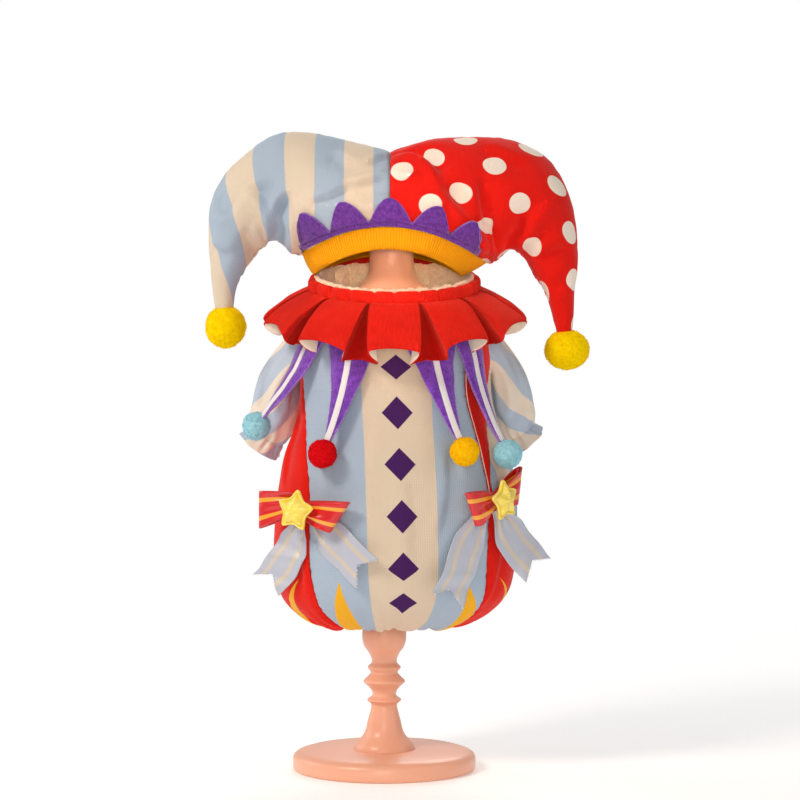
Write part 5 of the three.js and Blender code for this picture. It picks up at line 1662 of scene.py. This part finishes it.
# A tail of ribbon, gathered under the knot and cut to a swallowtail, and where it lies on the flat ribbon
def tailGrid(way, slant, length, bowing, turnBy, seed):
    u = np.linspace(-1, 1, 30)[None]
    v = np.linspace(0, 1, 56)[:, None]
    sine, cosine = math.sin(math.radians(slant)), math.cos(math.radians(slant))
    across = u * mix(bow["tailTopHalf"], bow["ribbon"] / 2, ease(v * 2.6))
    along = v * (length - bow["swallowtail"] * (1 - np.abs(u)))
    bowed = bowing * 4 * v * (1 - v)
    x = way * (3.5 + along * sine + (1 - v) * 1.5 - bowed * cosine) + across * cosine
    z = -6.4 - along * cosine + way * across * sine - bowed * sine
    curl = 2.0 * unevenWave(along + across * 0.5, 30, seed) * ease(v * 2)
    curl = curl + 0.7 * clouds(point(along, across, seed), 12, 132)
    gather = 1.7 * unevenWave(u * 12.5 + 0 * v, 9, seed + 3) * (1 - ease(v * 1.8))
    y = 5.6 + 1.2 * np.sin(math.pi * v) - curl - gather
    turnSine, turnCosine = math.sin(math.radians(turnBy)), math.cos(math.radians(turnBy))
    grid = point(x * turnCosine - y * turnSine, x * turnSine + y * turnCosine, z)
    return grid, clothPlaces(u * bow["ribbon"] / 2, along)


# A star's outline as shares of its radius: straight edges from point to inner corner, rounded at both
def starOutline(turn):
    fifth = np.abs((turn / (tau / 5) + 0.5) % 1 - 0.5) * 2
    half = math.pi / 5
    inner, cornerSide = star["inner"], star["inner"] * math.sin(half)
    edge = cornerSide * np.cos(fifth * half) + (1 - inner * math.cos(half)) * np.sin(fifth * half)
    radius = cornerSide / edge
    radius = radius * (1 - 0.06 * np.exp(-(fifth / 0.16) ** 2)) + 0.03 * np.exp(-((1 - fifth) / 0.25) ** 2)
    return np.mean([np.roll(radius, step) for step in range(-2, 3)], axis=0)


def starRings(turnBy):
    turn = np.arange(160) * tau / 160
    outline = (starOutline(turn) * star["radius"])[None]
    shares = [*np.linspace(0.02, 0.76, 14), 0.79, 0.815, 0.84, 0.87, 0.9, 0.94, 0.975, 0.995, 1.0]
    share = np.array(shares)[:, None]
    pad = star["puff"] * np.maximum(1 - (share / star["padTo"]) ** 2.4, 0) ** 0.62
    pad = pad * (1 + 0.08 * (np.cos(5 * turn)[None] - 1) * ease(share / 0.5))
    roll = 1.5 * np.sqrt(np.maximum(1 - ((share - star["rimAt"]) / star["rimHalf"]) ** 2, 0))
    front = -0.3 - np.where(share < star["padTo"], pad, roll)
    back = 1.2 - 1.0 * share[::-1] ** 4
    radii = np.concatenate([share * outline, share[::-1] * outline * 0.985])
    depth = np.concatenate([front, back + 0 * outline])
    at = turn + math.radians(turnBy) + math.pi / 2
    return point(radii * np.cos(at), depth - star["ahead"], radii * np.sin(at))


# Threads that have come loose along the cut end of a tail
def addFray(name, grid, seed):
    rng = np.random.default_rng(seed)
    end = grid[-1]
    along = rng.uniform(0, len(end) - 1, fray["count"])
    k = np.minimum(along.astype(int), len(end) - 2)
    roots = mix(end[k], end[k + 1], (along - k)[:, None])
    ways = unit(end[k] - grid[-4][k]) + 0.5 * rng.normal(size=(fray["count"], 3))
    lengths = rng.uniform(*fray["length"], fray["count"])
    points, *faces = fibreParts(roots, ways, lengths, fray["width"], rng)
    return addMesh(name, points, faces, [frayThread])


for bowName, made in bow["bows"].items():
    centre = offRomper(made["at"], made["row"], bow["lift"])
    sine, cosine = math.sin(math.radians(made["facing"])), math.cos(math.radians(made["facing"]))
    facing = np.array([[cosine, -sine, 0], [sine, cosine, 0], [0, 0, 1]])

    def onRomper(points):
        return points @ facing.T + centre

    for way, length, skew, rise, droop in made["loops"]:
        node = f"bow_{bowName}_loop_" + ("a" if way < 0 else "b")
        grid = onRomper(loopGrid(way, length, skew, rise, droop, 140 + length + way))
        around = alongPath(grid[13], closed=True)
        across = np.linspace(-bow["ribbon"] / 2, bow["ribbon"] / 2, 26)[:, None]
        piece = addCloth(node + "_satin", grid, bow["loopWall"], [redSatin],
                         clothPlaces(across, around[None]), wraps=True,
                         inside=onRomper(np.array([way * length * 0.6, 0, 0.0])))
        place(piece, "red_satin", node)
    for way, slant, length, bowing, turnBy in made["tails"]:
        node = f"bow_{bowName}_tail_" + ("a" if way < 0 else "b")
        grid, places = tailGrid(way, slant, length, bowing, turnBy, int(150 + length + way))
        grid = clearOfRomper(onRomper(grid), 1.6)
        piece = addCloth(node + "_satin", grid, bow["tailWall"], [greySatin], places,
                         inside=onRomper(np.array([0, 40, -30.0])))
        place(piece, "grey_satin", node)
        length / 1000
        round(0.8 * 0.025 * length / 1000, 5)
        place(addFray(node + "_fray", grid, int(160 + length)), "grey_satin")
    piece = addLoft(f"bow_{bowName}_star_padded", onRomper(starRings(made["starTurn"])), glitter)
    place(piece, "glitter_fabric", f"bow_{bowName}_star")
print("bows made")


# White acrylic that glows a little from below, fading out into the white surroundings
def floorMaterial():
    material, tree = newTree("whiteAcrylicFloor")
    look = studio["floor"]
    spot = addNode(tree, "ShaderNodeTexCoord")
    fromStand = addNode(tree, "ShaderNodeVectorMath", {"operation": "LENGTH", 0: spot.outputs["Object"]})
    fade = addNode(tree, "ShaderNodeMapRange", {
        "interpolation_type": "SMOOTHSTEP", 0: fromStand.outputs["Value"],
        1: look["fadesFrom"] / 1000, 2: look["fadesTo"] / 1000})
    colour = linear(look["colour"])
    surface = addNode(tree, "ShaderNodeBsdfPrincipled", {
        "Base Color": shaded(tree, colour, cloudyNumber(tree, 300) * 0.02 + 0.98), "Roughness": 0.75,
        "Emission Color": colour, "Emission Strength": look["glow"]})
    clear = addNode(tree, "ShaderNodeBsdfTransparent")
    faded = addNode(tree, "ShaderNodeMixShader", {
        0: fade.outputs[0], 1: surface.outputs[0], 2: clear.outputs[0]})
    addNode(tree, "ShaderNodeOutputMaterial", {"Surface": faded.outputs[0]})
    return material


half, low = studio["floor"]["half"], -studio["floor"]["below"]
floorCorners = np.array([[-half, -half, low], [half, -half, low], [half, half, low], [-half, half, low]])
floor = addMesh("floor", floorCorners, [np.array([[0, 1, 2, 3]])], [floorMaterial()])
print("pieces all made")
